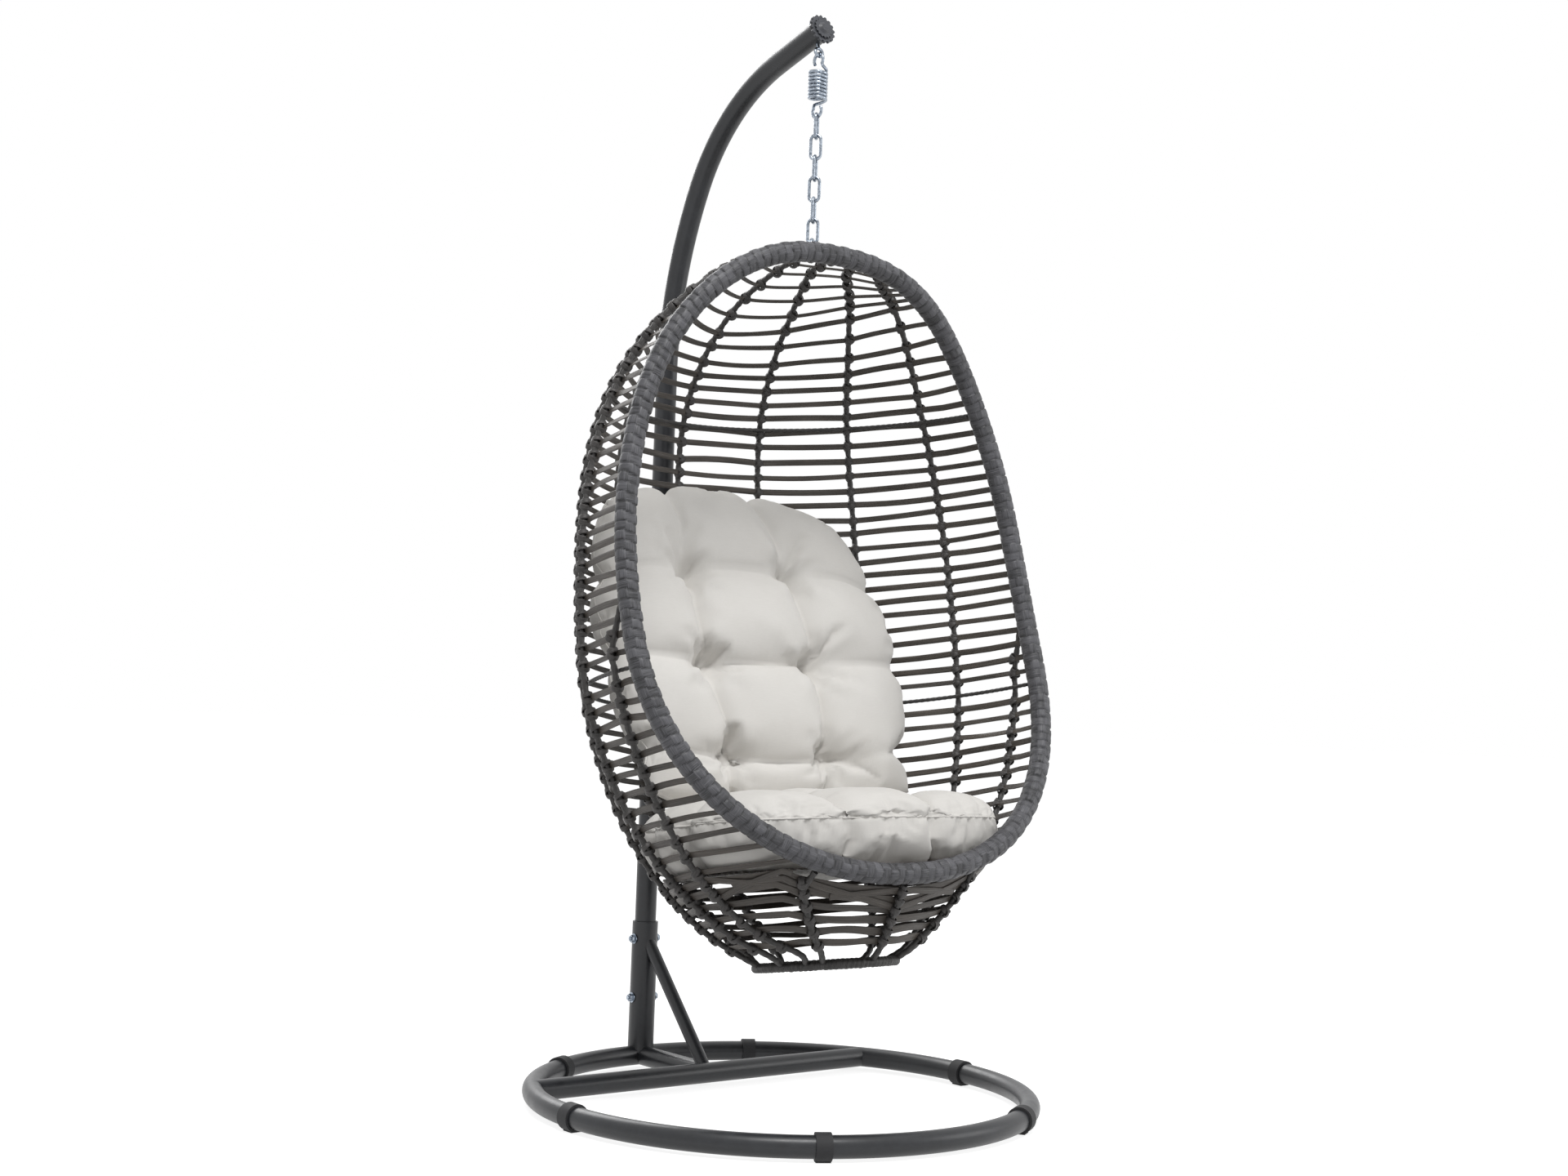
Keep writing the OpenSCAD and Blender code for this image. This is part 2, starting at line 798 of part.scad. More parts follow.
// A point just off the middle of a round bar, towards p
function seat_on(middle, p, d) = middle + d * unit(p - middle);
seam = 0.3;
low_edge = 1129;
// Levels of the rows of wall points, shared by the wall, the ribs and the hoops
function spread(from, to, count) =
  [for (k = [0 : count]) from + seam + (to - from - 2 * seam) * k / count];
top_first = rim_top_h + 1;
top_count = 9;
top_rows = [for (k = [0 : top_count])
  top_first + (hoop_high - seam - top_first) * pow(k / top_count, 2.2)];
upper_rows = spread(hoop_high, 560, 4);
middle_rows = concat(spread(560, hoop_low, 3), spread(hoop_low, 850, 1));
lower_rows = concat(spread(850, 1060, 4), spread(1095, low_edge, 1));
bottom_count = 4;
all_rows = concat(top_rows, upper_rows, middle_rows, lower_rows);
// Each rib lies in a plane through the egg's axis. This gives a rib's place on the section at level h.
function plane_angle(a, h) = let (w = half_w(h) + 0.5,
    d = back_d(h),
    off = near_top(h) - mid_v(h),
    k2 = pow(sin(a) / w, 2) + pow(cos(a) / d, 2),
    k1 = off * cos(a) / (d * d),
    far = (k1 + sqrt(k1 * k1 + k2 * (1 - pow(off / d, 2)))) / k2)
  atan2(far * sin(a) / w, (far * cos(a) - off) / d);
function rib_angle(k, h) = plane_angle(rib_angles[k], h);
function rib_bottom(a) = [for (r = [1 : bottom_count]) let (top = low_row_level(plane_angle(a, low_edge)),
    h = top + (wall_foot - top) * r / bottom_count)
  skin_off(plane_angle(a, h), h, rib_off)];
// Where a rib that comes from point p meets the bottom ring
function foot_near(p) = let (c = [0, -mid_v(egg_h)])
  seat_on(concat(c + foot_r * unit([p[0], p[1]] - c), [-egg_h]), p, foot_d / 2 + ring_gap);
function rib_line(start, body, low) = concat([start], body, low, [foot_near(low[len(low) - 1])]);
// Level of the rim at a distance u from its middle, near the top
function rim_level(u) = wide_h - rim_rise * sup(u / egg_w, round_high);
rim_seat = rim_wrap_d / 2 + ring_gap;
// Row of the middle wall at which the last side rib leaves the rim
side_row = 2;

module rib(p) {
  color("#3d3c3b")
    in_egg()
      bar(p, rib_d / 2, 6, [1, 0, 0]);
}

module rib_back() {
  crest = [for (c = [0.16 : 0.14 : 0.86]) let (p = skin(acos(c), rim_top_h))
    [0, p[1], p[2] + rib_off - 1]];
  down = [for (s = all_rows) skin_off(0, row_level(s, 0), rib_off)];
  start = rim_at(rim_top_h) + (rim_seat + 0.8 * rib_d / 2) * [0, sin(38), cos(38)];
  rib(rib_line(start, concat(crest, down), rib_bottom(0)));
}

// Side ribs, counted from the back. The last one starts beside the rim.
module rib_side(k, side) {
  from = k < 3 ? rim_level(rib_starts[k]) + 0.3 : middle_rows[side_row] - 1;
  body = [for (s = all_rows) if (s > from) let (a = rib_angle(k, s))
    skin_off(a, row_level(s, a), rib_off)];
  low = rib_bottom(rib_angles[k]);
  lead = let (s = middle_rows[side_row], a = rib_angle(3, s)) skin_off(a, row_level(s, a), rib_off + 8);
  start = k < 3
    ? rim_at(rim_level(rib_starts[k])) + (rim_seat + 0.8 * rib_d / 2) * [0, sin(38), cos(38)]
    : seat_on(rim_near(lead), lead, rim_seat + rib_d / 2);
  mirror([side < 0 ? 1 : 0, 0, 0])
    rib(rib_line(start, body, low));
}

module rib_front_at(a) {
  top = low_row_level(a);
  function step(r, off) = skin_off(a, top + (wall_foot - top) * r / bottom_count, off);
  lead = step(0.5, rib_off + 6);
  low = [for (r = [0.5, 1, 2, 3, 4]) step(r, rib_off)];
  rib(rib_line(seat_on(rim_near(lead), lead, rim_seat + rib_d / 2), [], low));
}

// A hoop inside the wall, following a row of the wicker from rim to rim
module hoop(s) {
  off = -weave_t / 2 - weave_play - hoop_d / 2;
  color("#3d3c3b")
    in_egg()
      bar([for (p = wall_row(s)) skin_off(p[0], p[1], off)], hoop_d / 2, 6, [0, 0, 1]);
}

module bottom_ring() {
  color("#3d3c3b")
    in_egg()
      translate([0, -mid_v(egg_h), -egg_h])
        rotate_extrude()
          translate([foot_r, 0])
            circle(d = foot_d);
}

// ---- The woven wall ----

// Angles of the wall's columns of points, from the back round to the edge of a row
function column(k, s, stop) = let (n = floor(k / 2),
    low = n == 0 ? 0 : rib_angle(min(n - 1, 3), s),
    high = rib_angle(min(n, 3), s),
    last = rib_angle(2, s),
    side = rib_angle(3, s))
  k < 7 ? low + (k % 2) * (high - low) / 2
    : stop < side + 1.5 ? last + (stop - last) * (k - 6) / 5
    : k < 9 ? last + (side - last) * (k - 6) / 2 : side + (stop - side) * (k - 8) / 3;
step_count = 11;

// A band of wall between two edges, given as rows of [angle, level] pairs
module band(rows, closed, capped = false) {
  n = len(rows[0]);
  m = len(rows);
  all = [for (d = [weave_t / 2, -weave_t / 2], r = rows, p = r) skin_off(p[0], p[1], d)];
  half = n * m;
  cols = closed ? n : n - 1;
  function quad(a, b, c, d, in) = in ? [[a, b, c], [a, c, d]] : [[a, c, b], [a, d, c]];
  walls = [for (s = [0, 1], i = [0 : m - 2], j = [0 : cols - 1])
    let (k = (j + 1) % n, o = s * half)
    each quad(o + i * n + j, o + i * n + k, o + (i + 1) * n + k, o + (i + 1) * n + j, s == 1)];
  // A capped band is closed between the two arms of its first row
  top = capped
    ? [for (o = [0, half], j = [0 : step_count - 1],
        f = quad(o + j, o + j + 1, o + n - 2 - j, o + n - 1 - j, o == 0))
      if (f[0] != f[1] && f[1] != f[2]) f]
    : [for (j = [0 : cols - 1]) let (k = (j + 1) % n) each quad(j, k, half + k, half + j, true)];
  lip = capped ? quad(0, n - 1, half + n - 1, half, true) : [];
  low = [for (j = [0 : cols - 1]) let (k = (j + 1) % n, o = (m - 1) * n)
    each quad(o + j, o + k, half + o + k, half + o + j, false)];
  ends = closed ? [] : [for (i = [0 : m - 2]) let (o = i * n, q = (i + 1) * n)
    each concat(
      quad(o, half + o, half + q, q, true),
      quad(o + n - 1, half + o + n - 1, half + q + n - 1, q + n - 1, false))];
  color("#4b4845")
    in_egg()
      polyhedron(all, concat(walls, top, lip, low, ends));
}

wrap_clear = rim_wrap_d / 2 + 1.5;
function wall_row(s) = let (stop = row_stop(s, wrap_clear))
  [for (k = [-step_count : step_count]) let (a = sign(k) * column(abs(k), s, stop))
    [a, row_level(s, abs(a))]];

// Top edge of the lowest band: level with the row above it, but below the rim in front
edge_angle = 134;
function low_row_level(a) = let (t = ramp((a - edge_angle) / (180 - edge_angle)))
  row_level(low_edge + 1.5, min(a, edge_angle)) + (mouth_h + wrap_clear - low_edge + 1) * sqrt(t);
wall_foot = egg_h - 26;

// ---- The cushions ----

function dent(x, c, w) = exp(-pow((x - c) / w, 2));
function sum(v, k = 0) = k < len(v) ? v[k] + sum(v, k + 1) : 0;
// Height of a cushion's face over its middle plane, at the share (i, j) of its half sizes
function loft(i, j, w, l, t, xs, ys) = let (x = i * w / 2, y = j * l / 2,
    crown = pow((1 - pow(abs(i), 3.2)) * (1 - pow(abs(j), 3.2)), 0.5),
    pit = sum([for (p = xs, q = ys) dent(x, p, 34) * dent(y, q, 34)]),
    fold = min(1.3, sum([for (q = ys) dent(y, q, 22)]) + sum([for (p = xs) dent(x, p, 22)])))
  max(crown * 0.12 * t, crown * (t - tuft_depth * pit - crease_depth * fold));

// A stuffed cushion: crowned faces, rounded corners, sides drawn in at the creases, sewn tufts
module cushion(w, l, t_front, t_back, corner, bend, xs, ys) {
  n = 24;
  function share(k) = sin(90 * (2 * k / n - 1));
  function drawn(y, cuts) = 1 - 0.035 * min(1, sum([for (q = cuts) dent(y, q, 30)]));
  function at(ki, kj, t) = let (i = share(ki), j = share(kj),
      x = i * w / 2 * sqrt(1 - corner * j * j) * drawn(j * l / 2, ys),
      y = j * l / 2 * sqrt(1 - corner * i * i) * drawn(i * w / 2, xs))
    [x, y, sign(t) * (t == 0 ? 0 : loft(i, j, w, l, abs(t), xs, ys)) + bend * pow(i, 2)];
  inner = n - 1;
  grid = (n + 1) * (n + 1);
  front = [for (a = [0 : n], b = [0 : n])
    at(a, b, a == 0 || a == n || b == 0 || b == n ? 0 : t_front)];
  rear = [for (a = [1 : inner], b = [1 : inner]) at(a, b, -t_back)];
  function face_id(a, b) = a * (n + 1) + b;
  function rear_id(a, b) = a == 0 || a == n || b == 0 || b == n
    ? face_id(a, b)
    : grid + (a - 1) * inner + b - 1;
  function on_edge(k) = k < grid && (k % (n + 1) % n == 0 || k <= n || k >= n * (n + 1));
  all = [for (a = [0 : inner], b = [0 : inner])
    each [
      [face_id(a, b), face_id(a, b + 1), face_id(a + 1, b + 1)],
      [face_id(a, b), face_id(a + 1, b + 1), face_id(a + 1, b)],
      [rear_id(a, b), rear_id(a + 1, b + 1), rear_id(a, b + 1)],
      [rear_id(a, b), rear_id(a + 1, b), rear_id(a + 1, b + 1)]]];
  // At two corners the front and the rear would share a triangle, so it is left out of both
  faces = [for (f = all) if (!(on_edge(f[0]) && on_edge(f[1]) && on_edge(f[2]))) f];
  polyhedron(concat(front, rear), faces);
}

tuft_xs = [-tuft_gap / 2, tuft_gap / 2];
seat_base = 0.45;
seat_mid_v = -68;

module seat_cushion() {
  color("#e2ddd6")
    in_egg()
      translate([0, -seat_mid_v, -floor_h + seat_t * seat_base + 0.4])
        cushion(seat_w, seat_l, seat_t * (1 - seat_base), seat_t * seat_base, 0.36, 0, tuft_xs, [-40, 85]);
}

back_lean = 15.5;
// The back cushion stands on the rear of the seat cushion, which is this much lower than its crown
seat_fall = 23;
back_mid_h = floor_h - seat_t + seat_fall - back_l / 2;
back_mid_v = -292;
back_curl = 80;
back_rows = [-248, -55, 138];

module back_cushion() {
  color("#e4dfd8")
    in_egg()
      translate([0, -back_mid_v, -back_mid_h])
        rotate([90 - back_lean, 0, 0])
          cushion(back_w, back_l, back_t * 0.55, back_t * 0.45, 0.34, back_curl, tuft_xs, back_rows);
}

module seat_floor() {
  edge = weave_t / 2 + 3.9;
  level = floor_h + floor_t;
  count = 60;
  clear = rim_wrap_d / 2 + 3;
  // Each point of the outline is drawn in until it is clear of the rim
  function drawn_in(p, c) = let (steps = [0.5 : 0.01 : 1],
      near = [for (f = steps) if (rim_gap(c + f * (p - c)) <= clear) f],
      q = c + (len(near) > 0 ? near[0] - 0.01 : 1) * (p - c))
    [q[0], q[1]];
  outline = [for (k = [0 : count - 1]) let (a = -180 + 360 * (k + 0.5) / count)
    drawn_in(skin_off(a, level, -edge), [0, -mid_v(level), floor_t / 2 - level])];
  color("#4b4845")
    in_egg()
      translate([0, 0, -level])
        linear_extrude(floor_t)
          polygon(outline);
}

module wall(rows, capped = false) {
  band([for (s = rows) wall_row(s)], false, capped);
}

module weave_top() {
  wall(top_rows, true);
}

module weave_upper() {
  wall(upper_rows);
}

module weave_middle() {
  wall(middle_rows);
}

module weave_lower() {
  wall(lower_rows);
}

module weave_bottom() {
  count = 36;
  band([for (r = [0 : bottom_count]) [for (k = [0 : count - 1])
    let (a = -180 + 360 * k / count, top = low_row_level(abs(a)))
    [a, top + (wall_foot - top) * r / bottom_count]]], true);
}

base_ring();
cross_tube();
base_strut();
socket_post();
brace();
for (k = [0 : pad_count - 1])
  floor_pad(k);
lower_pole();
upper_arm();
socket_bolts();
socket_washers();
socket_nuts();
end_cap();
hook_bolt();
hook_washer();
hook_nut();
spring();
for (k = [0 : link_count - 1])
  chain_link(k);
rim_eye();
rim_frame();
rim_wrap();
rib_back();
rib_side(0, -1);  // rib_left_1
rib_side(1, -1);  // rib_left_2
rib_side(2, -1);  // rib_left_3
rib_side(3, -1);  // rib_left_4
rib_side(0, 1);  // rib_right_1
rib_side(1, 1);  // rib_right_2
rib_side(2, 1);  // rib_right_3
rib_side(3, 1);  // rib_right_4
rib_front_at(180);  // rib_front
mirror([1, 0, 0]) rib_front_at(front_angle);  // rib_front_left
rib_front_at(front_angle);  // rib_front_right
hoop(hoop_high);  // hoop_upper
hoop(hoop_low);  // hoop_lower
bottom_ring();
seat_floor();
weave_top();
weave_upper();
weave_middle();
weave_lower();
weave_bottom();
seat_cushion();
back_cushion();
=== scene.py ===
import math

import bpy
import numpy as np
from mathutils import Matrix, Vector


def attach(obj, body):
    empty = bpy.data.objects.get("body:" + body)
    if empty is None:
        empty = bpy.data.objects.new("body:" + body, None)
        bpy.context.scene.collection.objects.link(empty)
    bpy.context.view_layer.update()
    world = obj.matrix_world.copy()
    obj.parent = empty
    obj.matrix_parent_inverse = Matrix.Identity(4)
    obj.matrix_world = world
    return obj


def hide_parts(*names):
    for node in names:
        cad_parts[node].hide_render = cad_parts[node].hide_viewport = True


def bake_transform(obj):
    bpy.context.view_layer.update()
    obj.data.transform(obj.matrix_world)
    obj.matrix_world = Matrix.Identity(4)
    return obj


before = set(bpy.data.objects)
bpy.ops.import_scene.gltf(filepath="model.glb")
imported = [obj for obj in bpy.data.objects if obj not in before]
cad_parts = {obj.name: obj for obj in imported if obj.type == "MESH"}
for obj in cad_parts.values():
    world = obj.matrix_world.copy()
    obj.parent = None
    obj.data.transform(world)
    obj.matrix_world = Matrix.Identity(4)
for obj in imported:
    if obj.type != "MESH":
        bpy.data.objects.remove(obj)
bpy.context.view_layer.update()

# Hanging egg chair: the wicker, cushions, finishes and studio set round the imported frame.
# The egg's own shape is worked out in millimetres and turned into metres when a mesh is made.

chance = np.random.default_rng(11)

# ---- Sizes of the egg, as in the frame (mm and degrees) ----

EGG_H, EGG_W, EGG_DEPTH = 1297.0, 466.0, 470.0
WIDE_H, DEEP_H, MOUTH_H, MOUTH_V = 730.0, 600.0, 1150.0, 150.0
RIM_TOP_H, RIM_TOP_V, RIM_SET, DOME_RISE = 23.0, 74.0, 12.0, 24.0
EGG_TILT, HANG_Y, HANG_Z = 8.5, -3.0, 1564.52
ROUND_HIGH, ROUND_LOW = 2.35, 2.2
TOP_FADE, RIM_BEND_H, MID_SHIFT = 140, 480, 94
FOOT_WIDE, FOOT_DEEP = 22, 17  # how far below the foot the wall's outlines would close
ROW_TILT = 10.5  # degrees that a row leans for each metre above or below the widest level
RIB_ANGLES = (22.0, 46.0, 69.5, 86.0)
RIB_STARTS = (26.0, 62.0, 105.0)
RIB_OFF, RIB_R = 5.7, 5.2
HOOPS, HOOP_R = (262.0, 792.0), 3.4
LOW_EDGE, WALL_FOOT = 1129.0, 1271.0
FOOT_R = 125.0
FLOOR_H, FLOOR_T = 1132.0, 6.0
# How far rows, hoops and the lowest band stay off the rim's middle line
ROW_CLEAR, HOOP_CLEAR, WRAP_CLEAR = 15, 19, 21.5
# From this angle forward the lowest band's edge drops under the rim
EDGE_ANGLE = 134.0
# Cushions: w, l, t width, length and thickness; front the share of t before the seam; xs, ys the
# tufts' places; square the form of the rear edge; corner, round_top how far the lower and upper
# corners are rounded; bend the curl of the sides; edge_hold how firmly the seam is held
SEAT = dict(edge_hold=0.8, w=690.0, l=400.0, t=130.0, front=0.38, square=7.0, corner=0.36,
            round_top=0.36, bend=0.0, xs=(-120.0, 120.0), ys=(-40.0, 85.0))
BACK = dict(edge_hold=0.0, w=674.0, l=676.0, t=125.0, front=0.55, square=3.2, corner=0.22,
            round_top=0.4, bend=50.0, xs=(-126.0, 122.0), ys=(-248.0, -55.0, 138.0))
# Where each cushion's middle lies, and its lean in degrees
SEAT_PLACE = (68.0, -FLOOR_H + 80.5 + 0.4, 0.0)
BACK_PLACE = (292.0, -697.0, 74.5)


def sin_d(a):
    return np.sin(np.radians(a))


def cos_d(a):
    return np.cos(np.radians(a))


def sup(t, m):
    """Superellipse: 1 at t = 0, falling to 0 at t = 1."""
    return np.maximum(0, 1 - np.maximum(0, t) ** m) ** (1 / m)


def ramp(t):
    return np.clip(t, 0, 1)


def rim_u(h):
    """Half width of the opening at level h, which counts down from the top."""
    return np.where(h < WIDE_H,
                    EGG_W * sup((WIDE_H - h) / (WIDE_H - RIM_TOP_H), ROUND_HIGH),
                    EGG_W * sup((h - WIDE_H) / (MOUTH_H - WIDE_H), ROUND_LOW))


def near_top(h):
    """How far forward rim and wall are set, most of all near the top."""
    return RIM_SET + (RIM_TOP_V - RIM_SET) * np.exp(-(np.maximum(0, h - RIM_TOP_H) / TOP_FADE) ** 1.5)


def rim_v(h):
    """How far forward the rim lies at level h."""
    return near_top(h) + (MOUTH_V - RIM_SET) * ramp((h - RIM_BEND_H) / (MOUTH_H - RIM_BEND_H)) ** 1.9


def half_w(h):
    """Half width of the wall at level h."""
    return np.where(h < WIDE_H, rim_u(h),
                    np.maximum(rim_u(h), EGG_W * sup((h - WIDE_H) / (EGG_H + FOOT_WIDE - WIDE_H), 1.8)))


def mid_v(h):
    """How far forward the wall's middle lies at level h."""
    return near_top(h) - MID_SHIFT * ramp((h - DEEP_H) / (EGG_H - DEEP_H)) ** 1.5


def back_d(h):
    """From the wall's middle to its back at level h."""
    return np.where(h < DEEP_H, EGG_DEPTH * sup((DEEP_H - h) / DEEP_H, 3.6),
                    EGG_DEPTH * sup((h - DEEP_H) / (EGG_H + FOOT_DEEP - DEEP_H), 1.8))


def rim_angle(h):
    """Angle from the back at which the wall meets the rim."""
    share = np.clip(rim_u(h) / (half_w(h) + 0.5), -1, 1)
    return np.where(h < MOUTH_H, 180 - np.degrees(np.arcsin(share)), 180.0)


def front_d(h):
    """From the wall's middle to its front, so that the wall ends at the rim."""
    low = FOOT_R + (MOUTH_V - mid_v(MOUTH_H) - FOOT_R) * (EGG_H - h) / (EGG_H - MOUTH_H)
    lean = -cos_d(rim_angle(h))
    high = (rim_v(h) - mid_v(h)) / np.where(np.abs(lean) < 1e-6, 1, lean)
    return np.where(h < MOUTH_H, high, low)


def skin(a, h):
    """Middle of the wall at level h and angle a from the back, as [x, y, z] in the egg."""
    a, h = np.broadcast_arrays(np.asarray(a, float), np.asarray(h, float))
    b = np.abs(a)
    c = cos_d(b)
    lift = np.where(c > 0, DOME_RISE * np.exp(-np.maximum(0, h - RIM_TOP_H) / 60) * sin_d(180 * c), 0)
    reach = np.where(c > 0, back_d(h), front_d(h))
    return np.stack([np.sign(a) * (half_w(h) + 0.5) * sin_d(b), -(mid_v(h) - reach * c), -h + lift], -1)


def unit(v):
    return v / np.maximum(np.linalg.norm(v, axis=-1, keepdims=True), 1e-9)


def skin_out(a, h):
    """The way out of the wall at a place."""
    g = np.maximum(h, RIM_TOP_H + 0.6)
    s = skin(np.asarray(a) + 0.5, g) - skin(np.asarray(a) - 0.5, g)
    t = skin(a, g + 0.5) - skin(a, g - 0.5)
    return unit(np.cross(s, t))


def skin_off(a, h, d):
    return skin(a, h) + d * skin_out(a, h)


def row_level(s, a):
    """Level at angle a of the row that meets the rim at level s."""
    k = np.tan(np.radians(ROW_TILT * (s - WIDE_H) / 1000 * ramp((s - 60) / 200)))
    g = s + (rim_v(s) + skin(a, s)[..., 1]) * k
    return s + (rim_v(s) + skin(a, g)[..., 1]) * k


def rim_turn(a):
    """Middle line of the rim: a runs from 0 at the top, clockwise seen from the front, to 360."""
    a = np.asarray(a, float)
    c, s, high = np.abs(cos_d(a)), np.abs(sin_d(a)), cos_d(a) > 0
    h = np.where(high, WIDE_H - (WIDE_H - RIM_TOP_H) * c ** (2 / ROUND_HIGH),
                 WIDE_H + (MOUTH_H - WIDE_H) * c ** (2 / ROUND_LOW))
    u = np.sign(sin_d(a)) * EGG_W * np.where(high, s ** (2 / ROUND_HIGH), s ** (2 / ROUND_LOW))
    return np.stack([u, -rim_v(h), -h], -1)


def evenly(line, step, closed=False):
    """The same line with its points an even step apart."""
    if closed:
        line = np.vstack([line, line[:1]])
    run = np.concatenate([[0], np.cumsum(np.linalg.norm(np.diff(line, axis=0), axis=1))])
    count = max(2, int(round(run[-1] / step)) + 1)
    at = np.linspace(0, run[-1], count)
    new = np.stack([np.interp(at, run, line[:, k]) for k in range(3)], -1)
    return new[:-1] if closed else new


RIM_FINE = evenly(rim_turn(np.linspace(0, 360, 1441)[:-1]), 4.0, closed=True)


def rim_gap(p):
    return np.sqrt(((np.asarray(p)[..., None, :] - RIM_FINE) ** 2).sum(-1)).min(-1)


def row_stop(s, clear):
    """Angle nearest the rim at which a row is still clear of the rim's middle line."""
    b = np.arange(float(rim_angle(s)), 20, -0.25)
    gap = rim_gap(skin(b, row_level(s, b)))
    return b[np.argmax(gap > clear)]


def plane_angle(a, h):
    """Angle on the wall, at level h, of a rib whose upright plane stands at angle a."""
    w, d, off = half_w(h) + 0.5, back_d(h), near_top(h) - mid_v(h)
    k2 = (sin_d(a) / w) ** 2 + (cos_d(a) / d) ** 2
    k1 = off * cos_d(a) / (d * d)
    far = (k1 + np.sqrt(k1 * k1 + k2 * (1 - (off / d) ** 2))) / k2
    return np.degrees(np.arctan2(far * sin_d(a) / w, (far * cos_d(a) - off) / d))


def low_row_level(a):
    """Level of the top edge of the lowest band."""
    t = ramp((np.abs(a) - EDGE_ANGLE) / (180 - EDGE_ANGLE))
    edge = row_level(LOW_EDGE + 1.5, np.minimum(np.abs(a), EDGE_ANGLE))
    return edge + (MOUTH_H + WRAP_CLEAR - LOW_EDGE + 1) * np.sqrt(t)


def below(top, share):
    """Level at a share of the way from the lowest band's top edge to the wall's foot."""
    return top + (WALL_FOOT - top) * share


def rim_level(u):
    """Level of the rim's upper half at half width u."""
    return WIDE_H - (WIDE_H - RIM_TOP_H) * float(sup(u / EGG_W, ROUND_HIGH))


def in_frame(p):
    """From the egg's own millimetres to metres in the frame."""
    c, s = math.cos(math.radians(EGG_TILT)), math.sin(math.radians(EGG_TILT))
    x, y, z = p[..., 0], p[..., 1], p[..., 2]
    return np.stack([x, y * c + z * s + HANG_Y, -y * s + z * c + HANG_Z], -1) * 0.001


# ---- Strips, rods and wrappings ----

def grid_cells(m, n, loop):
    """The cells of m cross sections of n points, with their four corners as point numbers."""
    i, j = np.meshgrid(np.arange(m if loop else m - 1), np.arange(n), indexing="ij")
    i, j = i.ravel(), j.ravel()
    ni, nj = (i + 1) % m, (j + 1) % n
    return i, j, np.stack([i * n + j, i * n + nj, ni * n + nj, ni * n + j], -1)


CORNERS = ((0, 0), (0, 1), (1, 1), (1, 0))  # a cell's corners, as steps along and across


def sections(line, r, ang, n, b):
    """Cross sections of radius r round a line, from its two normals."""
    return line[:, None] + r[..., None] * (np.cos(ang)[None, :, None] * n[:, None]
                                           + np.sin(ang)[None, :, None] * b[:, None])


class Strips:
    """Gathers strips of one piece before they become a mesh."""

    def __init__(self):
        self.points, self.faces, self.uvs, self.tones, self.count = [], [], [], [], 0

    def add(self, rings, along, across, tone, loop=False):
        """rings is (m, n, 3): m cross sections of n points. along and across are metres, for the grain."""
        m, n = rings.shape[:2]
        i, j, quads = grid_cells(m, n, loop)
        uv = np.stack([np.stack([along[i + p], across[j + q]], -1) for p, q in CORNERS], 1)
        if not loop:
            k = np.arange(n // 2 - 1)
            first = np.stack([k + 1, k, n - 1 - k, n - 2 - k], -1)
            last = np.stack([k, k + 1, n - 2 - k, n - 1 - k], -1) + (m - 1) * n
            quads = np.vstack([quads, first, last])
            uv = np.vstack([uv, np.broadcast_to(uv[:1], (2 * len(k), 4, 2))])
        tones = np.full(len(quads), tone) if np.isscalar(tone) else np.concatenate(
            [tone, np.full(len(quads) - len(tone), tone[0])])
        self.points.append(rings.reshape(-1, 3))
        self.faces.append(quads + self.count)
        self.uvs.append(uv.reshape(-1, 2))
        self.tones.append(tones)
        self.count += m * n

    def make(self, name, material, sharp=42, egg=True):
        points = np.vstack(self.points)
        points = in_frame(points) if egg else points * 0.001
        return make_mesh(name, points, np.vstack(self.faces), material, np.vstack(self.uvs),
                         np.concatenate(self.tones), sharp)


def place_new(name, data):
    """A new object in the scene that holds data."""
    obj = bpy.data.objects.new(name, data)
    bpy.context.scene.collection.objects.link(obj)
    return obj


def make_mesh(name, points, quads, material, uvs=None, tones=None, sharp=0):
    mesh = bpy.data.meshes.new(name)
    mesh.vertices.add(len(points))
    mesh.vertices.foreach_set("co", np.asarray(points, np.float32).ravel())
    mesh.loops.add(len(quads) * 4)
    mesh.loops.foreach_set("vertex_index", np.asarray(quads, np.int32).ravel())
    mesh.polygons.add(len(quads))
    mesh.polygons.foreach_set("loop_start", np.arange(len(quads), dtype=np.int32) * 4)
    mesh.update(calc_edges=True)
    if uvs is not None:
        mesh.uv_layers.new(name="grain").data.foreach_set("uv", np.asarray(uvs, np.float32).ravel())
    if tones is not None:
        mesh.attributes.new("tone", "FLOAT", "FACE").data.foreach_set("value", np.asarray(tones, np.float32))
    mesh.shade_smooth()
    if sharp:
        mesh.set_sharp_from_angle(angle=math.radians(sharp))
    mesh.materials.append(material)
    return place_new(name, mesh)


def run_of(line, loop=False):
    steps = np.linalg.norm(np.diff(np.vstack([line, line[:1]]), axis=0), axis=1)
    run = np.concatenate([[0], np.cumsum(steps)]) * 0.001
    return run if loop else run[:-1]


def tangents(line, loop=False):
    if loop:
        return unit(np.roll(line, -1, 0) - np.roll(line, 1, 0))
    return unit(np.gradient(line, axis=0))


STRAP_SECTION = np.array([(-1, 0), (-.82, -.88), (-.35, -1), (.35, -1), (.82, -.88),
                          (1, 0), (.82, .88), (.35, 1), (-.35, 1), (-.82, .88)])


